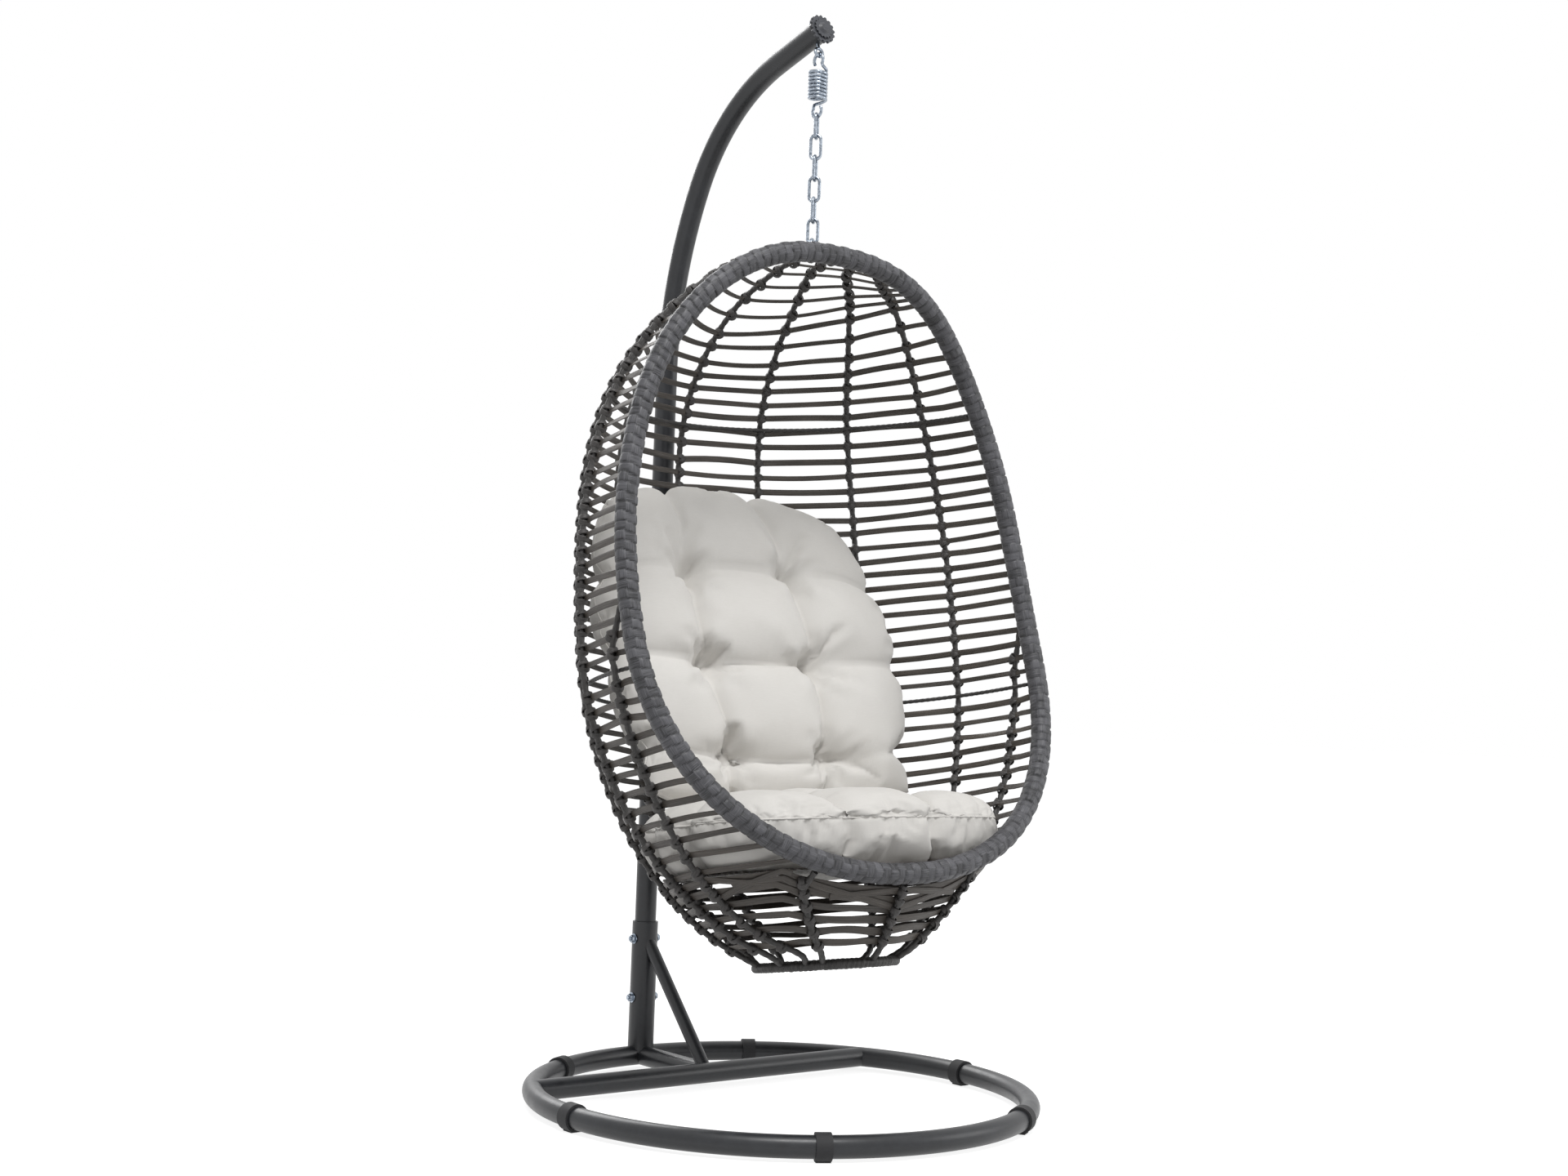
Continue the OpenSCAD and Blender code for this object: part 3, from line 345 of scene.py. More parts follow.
def add_strap(strips, line, out, width, thick, tone, loop=False, twist=0.0):
    """A flat strap along line, its face towards out."""
    t = tangents(line, loop)
    side = unit(np.cross(out, t))
    out = np.cross(t, side)
    if np.any(twist):
        c, s = np.cos(twist)[:, None], np.sin(twist)[:, None]
        side, out = side * c + out * s, out * c - side * s
    w = np.broadcast_to(np.asarray(width, float), (len(line),))[:, None, None]
    sec = STRAP_SECTION
    rings = (line[:, None] + sec[None, :, :1] * w / 2 * side[:, None]
             + sec[None, :, 1:] * thick / 2 * out[:, None])
    edge = np.vstack([sec, sec[:1]]) * [float(np.mean(w)) / 2, thick / 2]
    across = np.concatenate([[0], np.cumsum(np.linalg.norm(np.diff(edge, axis=0), axis=1))]) * 0.001
    start = chance.uniform(0, 30)
    strips.add(rings, run_of(line, loop) + start, across + chance.uniform(0, 5), tone, loop)


def frames_along(line, first, loop=False):
    """Two normals carried along a line without twist."""
    t = tangents(line, loop)
    n = np.zeros_like(line)
    v = np.asarray(first, float)
    for i in range(len(line)):
        v = v - t[i] * (v @ t[i])
        v = v / max(np.linalg.norm(v), 1e-9)
        n[i] = v
    return n, np.cross(t, n)


def add_rope(strips, line, radius, lay, strands, depth, tone, sides=14):
    """A rod wound with strap: strands lie round it with one turn in lay millimetres."""
    n, b = frames_along(line, (1, 0.1, 0.2))
    run = run_of(line)
    ang = np.linspace(0, 2 * np.pi, sides, endpoint=False)
    turn = ang[None] * strands + run[:, None] * 1000 / lay * 2 * np.pi
    r = radius + depth * (np.abs(np.sin(turn / 2)) ** 0.6 - 0.62)
    across = np.linspace(0, 2 * np.pi * radius, sides + 1) * 0.001
    strips.add(sections(line, r, ang, n, b), run + chance.uniform(0, 9), across, tone)


def add_tube(strips, line, radius, sides, first=(1, 0, 0), loop=False):
    n, b = frames_along(line, first, loop)
    ang = np.linspace(0, 2 * np.pi, sides, endpoint=False)
    across = np.linspace(0, 2 * np.pi * radius, sides + 1) * 0.001
    rings = sections(line, np.full((len(line), 1), float(radius)), ang, n, b)
    strips.add(rings, run_of(line, loop), across, 0.0, loop)


def smooth_line(points, step):
    """A rounded line through the points, with even steps."""
    p = np.asarray(points, float)
    q = np.vstack([2 * p[0] - p[1], p, 2 * p[-1] - p[-2]])
    out = []
    for i in range(1, len(q) - 2):
        a, b, c, d = q[i - 1], q[i], q[i + 1], q[i + 2]
        for t in np.linspace(0, 1, 9)[:-1]:
            out.append(0.5 * (2 * b + (c - a) * t + (2 * a - 5 * b + 4 * c - d) * t * t
                              + (3 * b - a - 3 * c + d) * t ** 3))
    out.append(p[-1])
    return evenly(np.array(out), step)


# ---- Shader groups ----

def linear(r, g, b):
    """Linear colour from steps of 0 to 255."""
    def one(v):
        v = v / 255
        return v / 12.92 if v <= 0.04045 else ((v + 0.055) / 1.055) ** 2.4
    return (one(r), one(g), one(b), 1.0)


def new_group(name, inputs, outputs):
    tree = bpy.data.node_groups.new(name, "ShaderNodeTree")
    for label, kind, value in inputs:
        sock = tree.interface.new_socket(name=label, in_out="INPUT", socket_type=kind)
        if value is not None:
            sock.default_value = value
    for label, kind in outputs:
        tree.interface.new_socket(name=label, in_out="OUTPUT", socket_type=kind)
    return tree, tree.nodes.new("NodeGroupInput"), tree.nodes.new("NodeGroupOutput")


FLOAT, VECTOR = "NodeSocketFloat", "NodeSocketVector"


def fill(tree, made, inputs):
    """Sets a node's inputs: each is given a value, or a socket to join."""
    for key, value in inputs.items():
        if isinstance(value, bpy.types.NodeSocket):
            tree.links.new(value, made.inputs[key])
        else:
            made.inputs[key].default_value = value
    return made


def node(tree, kind, inputs, **settings):
    made = tree.nodes.new(kind)
    for key, value in settings.items():
        setattr(made, key, value)
    return fill(tree, made, inputs)


def maths(tree, operation, a, b=0.5, clamp=False):
    return node(tree, "ShaderNodeMath", {0: a, 1: b}, operation=operation, use_clamp=clamp).outputs[0]


def mix_colour(tree, factor, a, b):
    return node(tree, "ShaderNodeMix", {0: factor, 6: a, 7: b}, data_type="RGBA").outputs[2]


def remap(tree, value, low, high, to_low=0.0, to_high=1.0):
    return node(tree, "ShaderNodeMapRange", {0: value, 1: low, 2: high, 3: to_low, 4: to_high}).outputs[0]


def build_mottle():
    """Soft clouds of light and dark, for dust, handling and uneven finish."""
    tree, src, dst = new_group("mottle",
                               [("Vector", VECTOR, None), ("Size", FLOAT, 0.1), ("Contrast", FLOAT, 1.0)],
                               [("Value", FLOAT)])
    scale = maths(tree, "DIVIDE", 1.0, src.outputs["Size"])
    noise = node(tree, "ShaderNodeTexNoise", {"Vector": src.outputs["Vector"], "Scale": scale, "Detail": 4.0,
                                              "Roughness": 0.6})
    shifted = maths(tree, "SUBTRACT", noise.outputs["Fac"], 0.5)
    spread = node(tree, "ShaderNodeMath", {0: shifted, 1: src.outputs["Contrast"], 2: 0.5},
                  operation="MULTIPLY_ADD")
    tree.links.new(spread.outputs[0], dst.inputs["Value"])
    return tree


def build_streaks():
    """Long grain drawn along a strap: fine lines, a few broad bands and a height for relief."""
    tree, src, dst = new_group("strap_streaks",
                               [("Grain", VECTOR, None), ("Length", FLOAT, 0.05), ("Width", FLOAT, 0.0012)],
                               [("Fine", FLOAT), ("Broad", FLOAT), ("Height", FLOAT)])
    parts = node(tree, "ShaderNodeSeparateXYZ", {0: src.outputs["Grain"]})
    u = maths(tree, "DIVIDE", parts.outputs[0], src.outputs["Length"])
    v = maths(tree, "DIVIDE", parts.outputs[1], src.outputs["Width"])
    drawn = node(tree, "ShaderNodeCombineXYZ", {0: u, 1: v, 2: 0.0})
    fine = node(tree, "ShaderNodeTexNoise",
                {"Vector": drawn.outputs[0], "Scale": 1.0, "Detail": 5.0, "Roughness": 0.65})
    third = maths(tree, "DIVIDE", v, 3.5)
    slow = node(tree, "ShaderNodeCombineXYZ", {0: u, 1: third, 2: 7.3})
    broad = node(tree, "ShaderNodeTexNoise",
                 {"Vector": slow.outputs[0], "Scale": 0.8, "Detail": 2.0, "Roughness": 0.5})
    fine_out = remap(tree, fine.outputs["Fac"], 0.33, 0.67)
    broad_out = remap(tree, broad.outputs["Fac"], 0.3, 0.7)
    height = maths(tree, "ADD", maths(tree, "MULTIPLY", fine_out, 0.6),
                   maths(tree, "MULTIPLY", broad_out, 0.4))
    fill(tree, dst, {"Fine": fine_out, "Broad": broad_out, "Height": height})
    return tree


def build_speckle():
    """Fine even grain with a few larger marks, for sprayed and plated metal and moulded parts."""
    tree, src, dst = new_group("fine_speckle",
                               [("Vector", VECTOR, None), ("Grain Size", FLOAT, 0.001),
                                ("Mark Size", FLOAT, 0.02)],
                               [("Grain", FLOAT), ("Marks", FLOAT), ("Cells", FLOAT)])
    a = maths(tree, "DIVIDE", 1.0, src.outputs["Grain Size"])
    b = maths(tree, "DIVIDE", 1.0, src.outputs["Mark Size"])
    grain = node(tree, "ShaderNodeTexNoise", {"Vector": src.outputs["Vector"], "Scale": a, "Detail": 2.0})
    marks = node(tree, "ShaderNodeTexNoise", {"Vector": src.outputs["Vector"], "Scale": b, "Detail": 6.0,
                                              "Roughness": 0.7})
    cells = node(tree, "ShaderNodeTexVoronoi", {"Vector": src.outputs["Vector"], "Scale": b})
    grey = node(tree, "ShaderNodeSeparateColor", {0: cells.outputs["Color"]})
    fill(tree, dst, {"Grain": grain.outputs["Fac"], "Marks": remap(tree, marks.outputs["Fac"], 0.35, 0.7),
                     "Cells": grey.outputs[0]})
    return tree


def build_weave():
    """Plain weave of fine thread, for cushion cloth."""
    tree, src, dst = new_group("cloth_weave", [("Vector", VECTOR, None), ("Thread", FLOAT, 0.0012)],
                               [("Height", FLOAT), ("Slub", FLOAT)])
    size = maths(tree, "DIVIDE", math.pi, src.outputs["Thread"])
    parts = node(tree, "ShaderNodeSeparateXYZ", {0: src.outputs["Vector"]})
    waves = [maths(tree, "SINE", maths(tree, "MULTIPLY", parts.outputs[k], size)) for k in range(3)]
    pair = maths(tree, "MULTIPLY", waves[0], maths(tree, "ADD", waves[1], waves[2]))
    stretched = node(tree, "ShaderNodeMapping", {0: src.outputs["Vector"], "Scale": (60.0, 900.0, 900.0)})
    slub = node(tree, "ShaderNodeTexNoise", {"Vector": stretched.outputs[0], "Scale": 1.0, "Detail": 3.0})
    fill(tree, dst, {"Height": maths(tree, "MULTIPLY", pair, 0.25), "Slub": slub.outputs["Fac"]})
    return tree


MOTTLE, STREAKS, SPECKLE, WEAVE = build_mottle(), build_streaks(), build_speckle(), build_weave()


def place(tree, group, inputs):
    return node(tree, "ShaderNodeGroup", inputs, node_tree=group)


def start_material(name, **constant):
    mat = bpy.data.materials.new(name)
    mat.use_nodes = True
    tree = mat.node_tree
    shader = tree.nodes["Principled BSDF"]
    for key, value in constant.items():
        shader.inputs[key.replace("_", " ")].default_value = value
    here = tree.nodes.new("ShaderNodeTexCoord")
    return mat, tree, shader, here


def relief(tree, shader, height, distance, strength):
    bump = node(tree, "ShaderNodeBump", {"Height": height, "Distance": distance, "Strength": strength})
    tree.links.new(bump.outputs[0], shader.inputs["Normal"])


def speckled_finish(name, dark, light, rough, grain_size, mark_size, lift, metal=0.0, cells=False):
    """Powder coat, plating, rubber and plastic: fine grain, larger marks, roughness that follows them."""
    mat, tree, shader, here = start_material(name)
    fleck = place(tree, SPECKLE, {"Vector": here.outputs["Object"], "Grain Size": grain_size,
                                  "Mark Size": mark_size})
    cloud = place(tree, MOTTLE, {"Vector": here.outputs["Object"], "Size": 0.12, "Contrast": 0.9})
    tone = fleck.outputs["Cells"] if cells else fleck.outputs["Marks"]
    both = maths(tree, "ADD", maths(tree, "MULTIPLY", tone, 0.6),
                 maths(tree, "MULTIPLY", cloud.outputs["Value"], 0.4), clamp=True)
    fill(tree, shader, {"Base Color": mix_colour(tree, both, dark, light),
                        "Roughness": remap(tree, both, 0.0, 1.0, *rough), "Metallic": metal})
    relief(tree, shader, fleck.outputs["Grain"], lift, 0.35)
    return mat


def strap_finish(name, dark, light, pale, rough, length, width, lift):
    """Extruded strap: streaks along its length, each strap of its own tone, paler ridges, and painted shade
    in the grooves of the grain.
    """
    mat, tree, shader, here = start_material(name)
    grain = place(tree, STREAKS, {"Grain": here.outputs["UV"], "Length": length, "Width": width})
    # The tone attribute lifts or lowers each strap's own colour; on the wound rim and bottom ring it also
    # carries painted shade where the turns meet.
    tone = node(tree, "ShaderNodeAttribute", {}, attribute_name="tone").outputs["Fac"]
    cloud = place(tree, MOTTLE, {"Vector": here.outputs["Object"], "Size": 0.06, "Contrast": 0.8})
    body = maths(tree, "ADD", maths(tree, "MULTIPLY", grain.outputs["Broad"], 0.55),
                 maths(tree, "MULTIPLY", cloud.outputs["Value"], 0.25))
    body = maths(tree, "ADD", body, tone, clamp=True)
    base = mix_colour(tree, body, dark, light)
    ridge = remap(tree, grain.outputs["Fine"], 0.55, 1.0, 0.0, 0.5)
    base = mix_colour(tree, ridge, base, pale)
    # Painted shade: the grooves of the fine grain, where the bump sinks the surface, are darkened towards
    # half the dark colour.
    painted_groove_shade = remap(tree, grain.outputs["Fine"], 0.0, 0.3, 0.55, 0.0)
    base = mix_colour(tree, painted_groove_shade, base, (dark[0] * 0.5, dark[1] * 0.5, dark[2] * 0.5, 1.0))
    fill(tree, shader, {"Base Color": base,
                        "Roughness": remap(tree, grain.outputs["Fine"], 0.0, 1.0, *rough)})
    relief(tree, shader, grain.outputs["Height"], lift, 0.8)
    return mat


powder_coat = speckled_finish("charcoal_powder_coat", linear(30, 31, 34), linear(47, 49, 53), (0.3, 0.44),
                              0.0009, 0.03, 0.00012)
pad_rubber = speckled_finish("pad_rubber", linear(30, 30, 32), linear(48, 48, 50), (0.62, 0.8),
                             0.0007, 0.012, 0.0001)
cap_plastic = speckled_finish("cap_plastic", linear(52, 53, 57), linear(78, 80, 86), (0.36, 0.5),
                              0.0008, 0.02, 0.00008)
zinc_plate = speckled_finish("zinc_plate", linear(98, 106, 116), linear(184, 193, 204), (0.18, 0.36),
                             0.0006, 0.0035, 0.00006, metal=1.0, cells=True)
bare_steel = speckled_finish("bare_steel", linear(80, 80, 82), linear(120, 120, 122), (0.35, 0.5),
                             0.0008, 0.01, 0.00006, metal=1.0)
wall_strap = strap_finish("wall_strap", linear(40, 36, 32), linear(82, 76, 70), linear(118, 112, 105),
                          (0.62, 0.42), 0.06, 0.0011, 0.00035)
knot_strap = strap_finish("knot_strap", linear(36, 34, 33), linear(68, 65, 64), linear(102, 100, 98),
                          (0.62, 0.45), 0.03, 0.0010, 0.0003)
rim_strap = strap_finish("rim_strap", linear(30, 30, 32), linear(86, 86, 90), linear(132, 132, 138),
                         (0.6, 0.4), 0.035, 0.0011, 0.00035)
rod_strap = strap_finish("rod_strap", linear(34, 32, 31), linear(60, 58, 57), linear(92, 90, 88),
                         (0.62, 0.45), 0.02, 0.0012, 0.0003)


def cushion_finish():
    mat, tree, shader, here = start_material("cushion_canvas", Roughness=0.85, Sheen_Weight=0.15,
                                             Sheen_Roughness=0.5)
    threads = place(tree, WEAVE, {"Vector": here.outputs["Object"], "Thread": 0.0011})
    cloud = place(tree, MOTTLE, {"Vector": here.outputs["Object"], "Size": 0.09, "Contrast": 0.7})
    base = mix_colour(tree, cloud.outputs["Value"], linear(213, 210, 205), linear(226, 224, 220))
    slub = remap(tree, threads.outputs["Slub"], 0.3, 0.7, 0.0, 0.12)
    base = mix_colour(tree, slub, base, linear(188, 184, 178))
    tree.links.new(base, shader.inputs["Base Color"])
    relief(tree, shader, threads.outputs["Height"], 0.00025, 0.5)
    return mat


cushion_canvas = cushion_finish()

# ---- The wicker wall ----

FIRST_ROW, ROW_STEP = 75.0, 27.5
WALL_ROWS = np.arange(FIRST_ROW, LOW_EDGE, ROW_STEP)
DOME_COUNT = 6
DOME_EYE = np.array([0, 60.0, -420.0])  # the point that the dome's rows turn their backs to
BOTTOM_ROWS = (0.04, 0.18, 0.35, 0.53, 0.71, 0.89)  # shares of the way from the lowest band to the foot
RIB_TOP_LEVELS, RIB_LEVELS = (26, 33, 45, 62), np.arange(80, LOW_EDGE, 35)
SIDE_RIB_FROM, SIDE_RIB_TOP, SIDE_RIB_RISE = 725, 755.0, 110.0  # the rib nearest the rim
KNOT_DEPTH, KNOT_LEAN, KNOT_SPREAD = 0.72, (24, 40), 3.4
KNOT_RADII, KNOT_OUTER = (8.7, 9.2), 0.8
STRAP_THICK = 2.4


def rib_body(k, levels):
    a = plane_angle(RIB_ANGLES[k], levels) if k >= 0 else np.zeros(len(levels))
    return np.array([skin_off(b, row_level(s, b), RIB_OFF) for s, b in zip(levels, a)])


def rib_low(a):
    top = low_row_level(plane_angle(a, LOW_EDGE))
    levels = [below(top, r / 4) for r in range(1, 5)]
    return np.array([skin_off(plane_angle(a, h), h, RIB_OFF) for h in levels])


def foot_near(p):
    """Point just above the bottom ring, on the side of p."""
    c = np.array([0, -float(mid_v(EGG_H)), -EGG_H])
    flat = np.array([p[0] - c[0], p[1] - c[1], 0])
    return c + FOOT_R * flat / np.linalg.norm(flat) + np.array([0, 0, 3.0])


def rib_points(k):
    """Middle line of a rib: -1 is the back rib, 0 to 3 the side ribs counted from the back."""
    lift = WRAP_CLEAR * np.array([0, math.sin(math.radians(38)), math.cos(math.radians(38))])
    if k < 0:
        first = skin(np.degrees(np.arccos(np.arange(0.16, 0.87, 0.14))), RIM_TOP_H)
        first[:, 0] = 0
        first[:, 2] += RIB_OFF - 1
        start = rim_turn(0.0) + lift
        levels = np.concatenate([RIB_TOP_LEVELS, RIB_LEVELS])
        body = rib_body(-1, levels)
        body[:, 0] = 0
        return np.vstack([[start], first, body, rib_low(0.0), [foot_near(rib_low(0.0)[-1])]])
    if k < 3:
        level = rim_level(RIB_STARTS[k])
        start = np.array([float(rim_u(level)), -float(rim_v(level)), -level]) + lift
        levels = np.array([s for s in RIB_TOP_LEVELS if s > level + 1] + list(RIB_LEVELS), float)
    else:
        levels = np.arange(SIDE_RIB_TOP, LOW_EDGE, 35)
        near = rib_body(3, levels[:1])[0]
        above = near + np.array([0, 0, SIDE_RIB_RISE])
        start = RIM_FINE[np.argmin(np.linalg.norm(RIM_FINE - above, axis=1))]
        start = start + unit(near - start) * 19
    low = rib_low(RIB_ANGLES[k])
    return np.vstack([[start], rib_body(k, levels), low, [foot_near(low[-1])]])


RIB_LINES = {k: smooth_line(rib_points(k), 3.0) for k in range(-1, 4)}


def mirrored(line, side):
    return line * np.array([side, 1, 1])


def row_cuts(s):
    """Angles at which a row is tied to the ribs, and where it ends at the rim."""
    stop = row_stop(s, ROW_CLEAR)
    cuts = [0.0]
    for k in range(4):
        a = float(plane_angle(RIB_ANGLES[k], s))
        if (k < 3 or s > SIDE_RIB_FROM) and a < stop - 3:
            cuts.append(a)
    return cuts, stop


def wall_rows(straps, knots):
    for s in WALL_ROWS:
        if min(abs(s - h) for h in HOOPS) < 5:
            continue
        cuts, stop = row_cuts(s)
        angles = np.array([-stop] + [-c for c in cuts[:0:-1]] + cuts + [stop])
        sag = chance.normal(0, 1.7, len(angles)) * (1 if s < 1080 else 0.5)
        ties, outs = [], []
        for a, d in zip(angles, sag):
            level = row_level(s, abs(a)) + d
            ties.append(skin_off(a, level, 0))
            outs.append(skin_out(a, level))
        ties, outs = np.array(ties), np.array(outs)
        pull = 0.55 if s < 900 else 0.15
        line, face = [], []
        for i in range(len(angles) - 1):
            steps = max(3, int(abs(angles[i + 1] - angles[i]) / 4))
            bow = chance.normal(0, 1.3)
            for t in np.linspace(0, 1, steps, endpoint=i == len(angles) - 2):
                a = angles[i] + (angles[i + 1] - angles[i]) * t
                level = (row_level(s, abs(a)) + sag[i] + (sag[i + 1] - sag[i]) * t
                         + bow * math.sin(math.pi * t))
                on_wall = skin(a, level)
                chord = ties[i] + (ties[i + 1] - ties[i]) * t
                chord[2] = on_wall[2]
                line.append(on_wall * (1 - pull) + chord * pull)
                face.append(unit(outs[i] * (1 - t) + outs[i + 1] * t))
        line, face = np.array(line), np.array(face)
        wave = np.cumsum(chance.normal(0, 0.05, len(line)))
        wave = np.clip(wave - wave.mean(), -0.35, 0.35)
        width = 11.6 + chance.normal(0, 0.5)
        add_strap(straps, line, face, width, STRAP_THICK, chance.normal(0.2, 0.16), twist=wave)
        for i in range(1, len(angles) - 1):
            tie_knot(knots, ties[i], outs[i])


def rib_direction(p):
    """Which way the nearest rib runs at a point of the wall."""
    best, way = 1e9, np.array([0, 0, -1.0])
    for key, line in RIB_LINES.items():
        for side in ((1,) if key < 0 else (1, -1)):
            at = mirrored(line, side)
            d = np.linalg.norm(at - p, axis=1)
            i = int(np.clip(np.argmin(d), 1, len(at) - 2))
            if d[i] < best:
                best, way = d[i], unit(at[i + 1] - at[i - 1])
    return way


def tie_knot(knots, p, out):
    """Two turns of strap crossed round the rib, and round the row it holds."""
    down = rib_direction(p)
    side = unit(np.cross(down, out))
    middle = p + out * (RIB_OFF * KNOT_DEPTH)
    lean = chance.uniform(*KNOT_LEAN)
    for turn in (1, -1):
        tilt = math.radians(turn * lean)
        axis = unit(down * math.cos(tilt) + side * math.sin(tilt))
        across = unit(np.cross(axis, out))
        ang = np.linspace(0, 2 * np.pi, 14, endpoint=False)
        rx, ry = (r + KNOT_OUTER * (turn > 0) for r in KNOT_RADII)
        line = (middle + axis * turn * KNOT_SPREAD
                + np.cos(ang)[:, None] * across * rx + np.sin(ang)[:, None] * out * ry)
        face = unit(np.cos(ang)[:, None] * across / rx + np.sin(ang)[:, None] * out / ry)
        add_strap(knots, line, face, 10.5 + chance.normal(0, 0.5), 2.0, chance.normal(0.25, 0.2), loop=True)


def dome_rows(straps, knots):
    """Rows between the rim's top and the first full row, tied to the ribs as they leave the rim."""
    heads = {}
    for key, line in RIB_LINES.items():
        goal = rib_body(key, np.array([FIRST_ROW]))[0] if key < 3 else None
        if goal is not None:
            heads[key] = line[:int(np.argmin(np.linalg.norm(line - goal, axis=1))) + 1]
    for r in range(1, DOME_COUNT + 1):
        f = (r - 0.35) / (DOME_COUNT + 0.6)
        right = []
        for key in (-1, 0, 1, 2):
            head = heads[key]
            right.append(head[min(len(head) - 1, int((0.08 + 0.92 * f) * (len(head) - 1)))])
        u = RIB_STARTS[2] + 18 + (float(rim_u(FIRST_ROW)) - RIB_STARTS[2] - 18) * f
        level = rim_level(u)
        end = np.array([u, -float(rim_v(level)) + 12, -level + 4.0])
        ties = [mirrored(end, -1)] + [mirrored(p, -1) for p in right[:0:-1]] + right + [end]
        ties = np.array(ties)
        out = unit(ties - DOME_EYE)
        inner = ties - out * RIB_OFF
        line = smooth_line(inner, 9.0)
        face = unit(line - DOME_EYE)
        add_strap(straps, line, face, 10.0, 2.2, chance.normal(0.2, 0.15))
        for i in range(1, len(ties) - 1):
            tie_knot(knots, inner[i], out[i])


def bottom_rows(straps, knots):
    """Broad rows round the foot of the egg, and loose straps slung from the rim to the ribs."""
    angles = np.linspace(-180, 180, 97)[:-1]
    ribs = [0.0]
    for a in RIB_ANGLES:
        ribs += [a, -a]
    edge = low_row_level(angles)
    for share in BOTTOM_ROWS:
        wobble = sum(chance.normal(0, 1.0) * np.sin(np.radians(angles) * m + chance.uniform(0, 6))
                     for m in (2, 5, 9))
        h = below(edge, share) + wobble
        line = skin_off(angles, h, 0.0)
        face = skin_out(angles, h)
        twist = sum(chance.normal(0, 0.06) * np.sin(np.radians(angles) * m + 1.0) for m in (3, 7))
        add_strap(straps, line, face, 14.5 + chance.normal(0, 1), STRAP_THICK, chance.normal(0.15, 0.12),
                  loop=True, twist=twist)
        for a in ribs + [140.0, -140.0, 180.0]:
            first = float(plane_angle(abs(a), LOW_EDGE)) if abs(a) < 100 else abs(a)
            g = below(float(low_row_level(first)), share)
            b = float(plane_angle(abs(a), g)) if abs(a) < 100 else abs(a)
            b *= 1 if a >= 0 else -1
            tie_knot(knots, skin_off(b, g, 0.0), skin_out(b, g))
    # Slung straps: from and to which angle, and from and to which share of the way down
    for a0, a1, f0, f1 in ((96, 140, -.03, .24), (136, 104, -.02, .2), (140, 178, .02, .3),
                           (178, 146, .0, .22), (-96, -140, -.03, .22), (-136, -104, -.02, .24),
                           (-140, -178, .02, .28), (-178, -150, .0, .2), (112, 139, .1, .08),
                           (-112, -139, .1, .09)):
        t = np.linspace(0, 1, 10)
        a = a0 + (a1 - a0) * t
        a = np.where(a > 180, a - 360, a)
        h = below(low_row_level(a), f0 + (f1 - f0) * t)
        add_strap(straps, skin_off(a, h, 3.2), skin_out(a, h), 13.0, 2.2, chance.normal(0.12, 0.12))


def front_rib(a):
    """Short rib from the rim down to the bottom ring."""
    top = low_row_level(a)
    low = [skin_off(a, below(top, r / 4), RIB_OFF) for r in (0.5, 1, 2, 3, 4)]
    lead = skin_off(a, below(top, 0.5 / 4), RIB_OFF + 6)
    near = RIM_FINE[np.argmin(np.linalg.norm(RIM_FINE - lead, axis=1))]
    return smooth_line(np.vstack([[near + unit(lead - near) * 21], low, [foot_near(low[-1])]]), 3.0)


straps, knots, rods = Strips(), Strips(), Strips()
wall_rows(straps, knots)
dome_rows(straps, knots)
bottom_rows(straps, knots)
for key, line in RIB_LINES.items():
    for side in ((1,) if key < 0 else (1, -1)):
        add_rope(rods, mirrored(line, side), RIB_R, 17.0, 2, 1.5, float(chance.normal(0.25, 0.1)))
for a in (180.0, 140.0, -140.0):
    add_rope(rods, front_rib(a), RIB_R, 17.0, 2, 1.5, 0.25)
for s in HOOPS:
    stop = row_stop(s, HOOP_CLEAR)
    a = np.linspace(-stop, stop, 120)
    line = np.array([skin_off(b, row_level(s, abs(b)), -5.0) for b in a])
    add_rope(rods, smooth_line(line, 3.0), HOOP_R, 12.0, 2, 1.3, 0.2)

wall = straps.make("wall_straps", wall_strap)
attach(wall, "basket")
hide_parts("weave_top", "weave_upper", "weave_middle", "weave_lower", "weave_bottom")
knotwork = knots.make("rib_knots", knot_strap)
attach(knotwork, "basket")
rod_work = rods.make("wrapped_rods", rod_strap)
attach(rod_work, "basket")
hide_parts("rib_back", "rib_left_1", "rib_left_2", "rib_left_3", "rib_left_4", "rib_right_1",
            "rib_right_2", "rib_right_3", "rib_right_4", "rib_front", "rib_front_left", "rib_front_right",
            "hoop_upper", "hoop_lower")


# ---- The wrapped rim and bottom ring ----

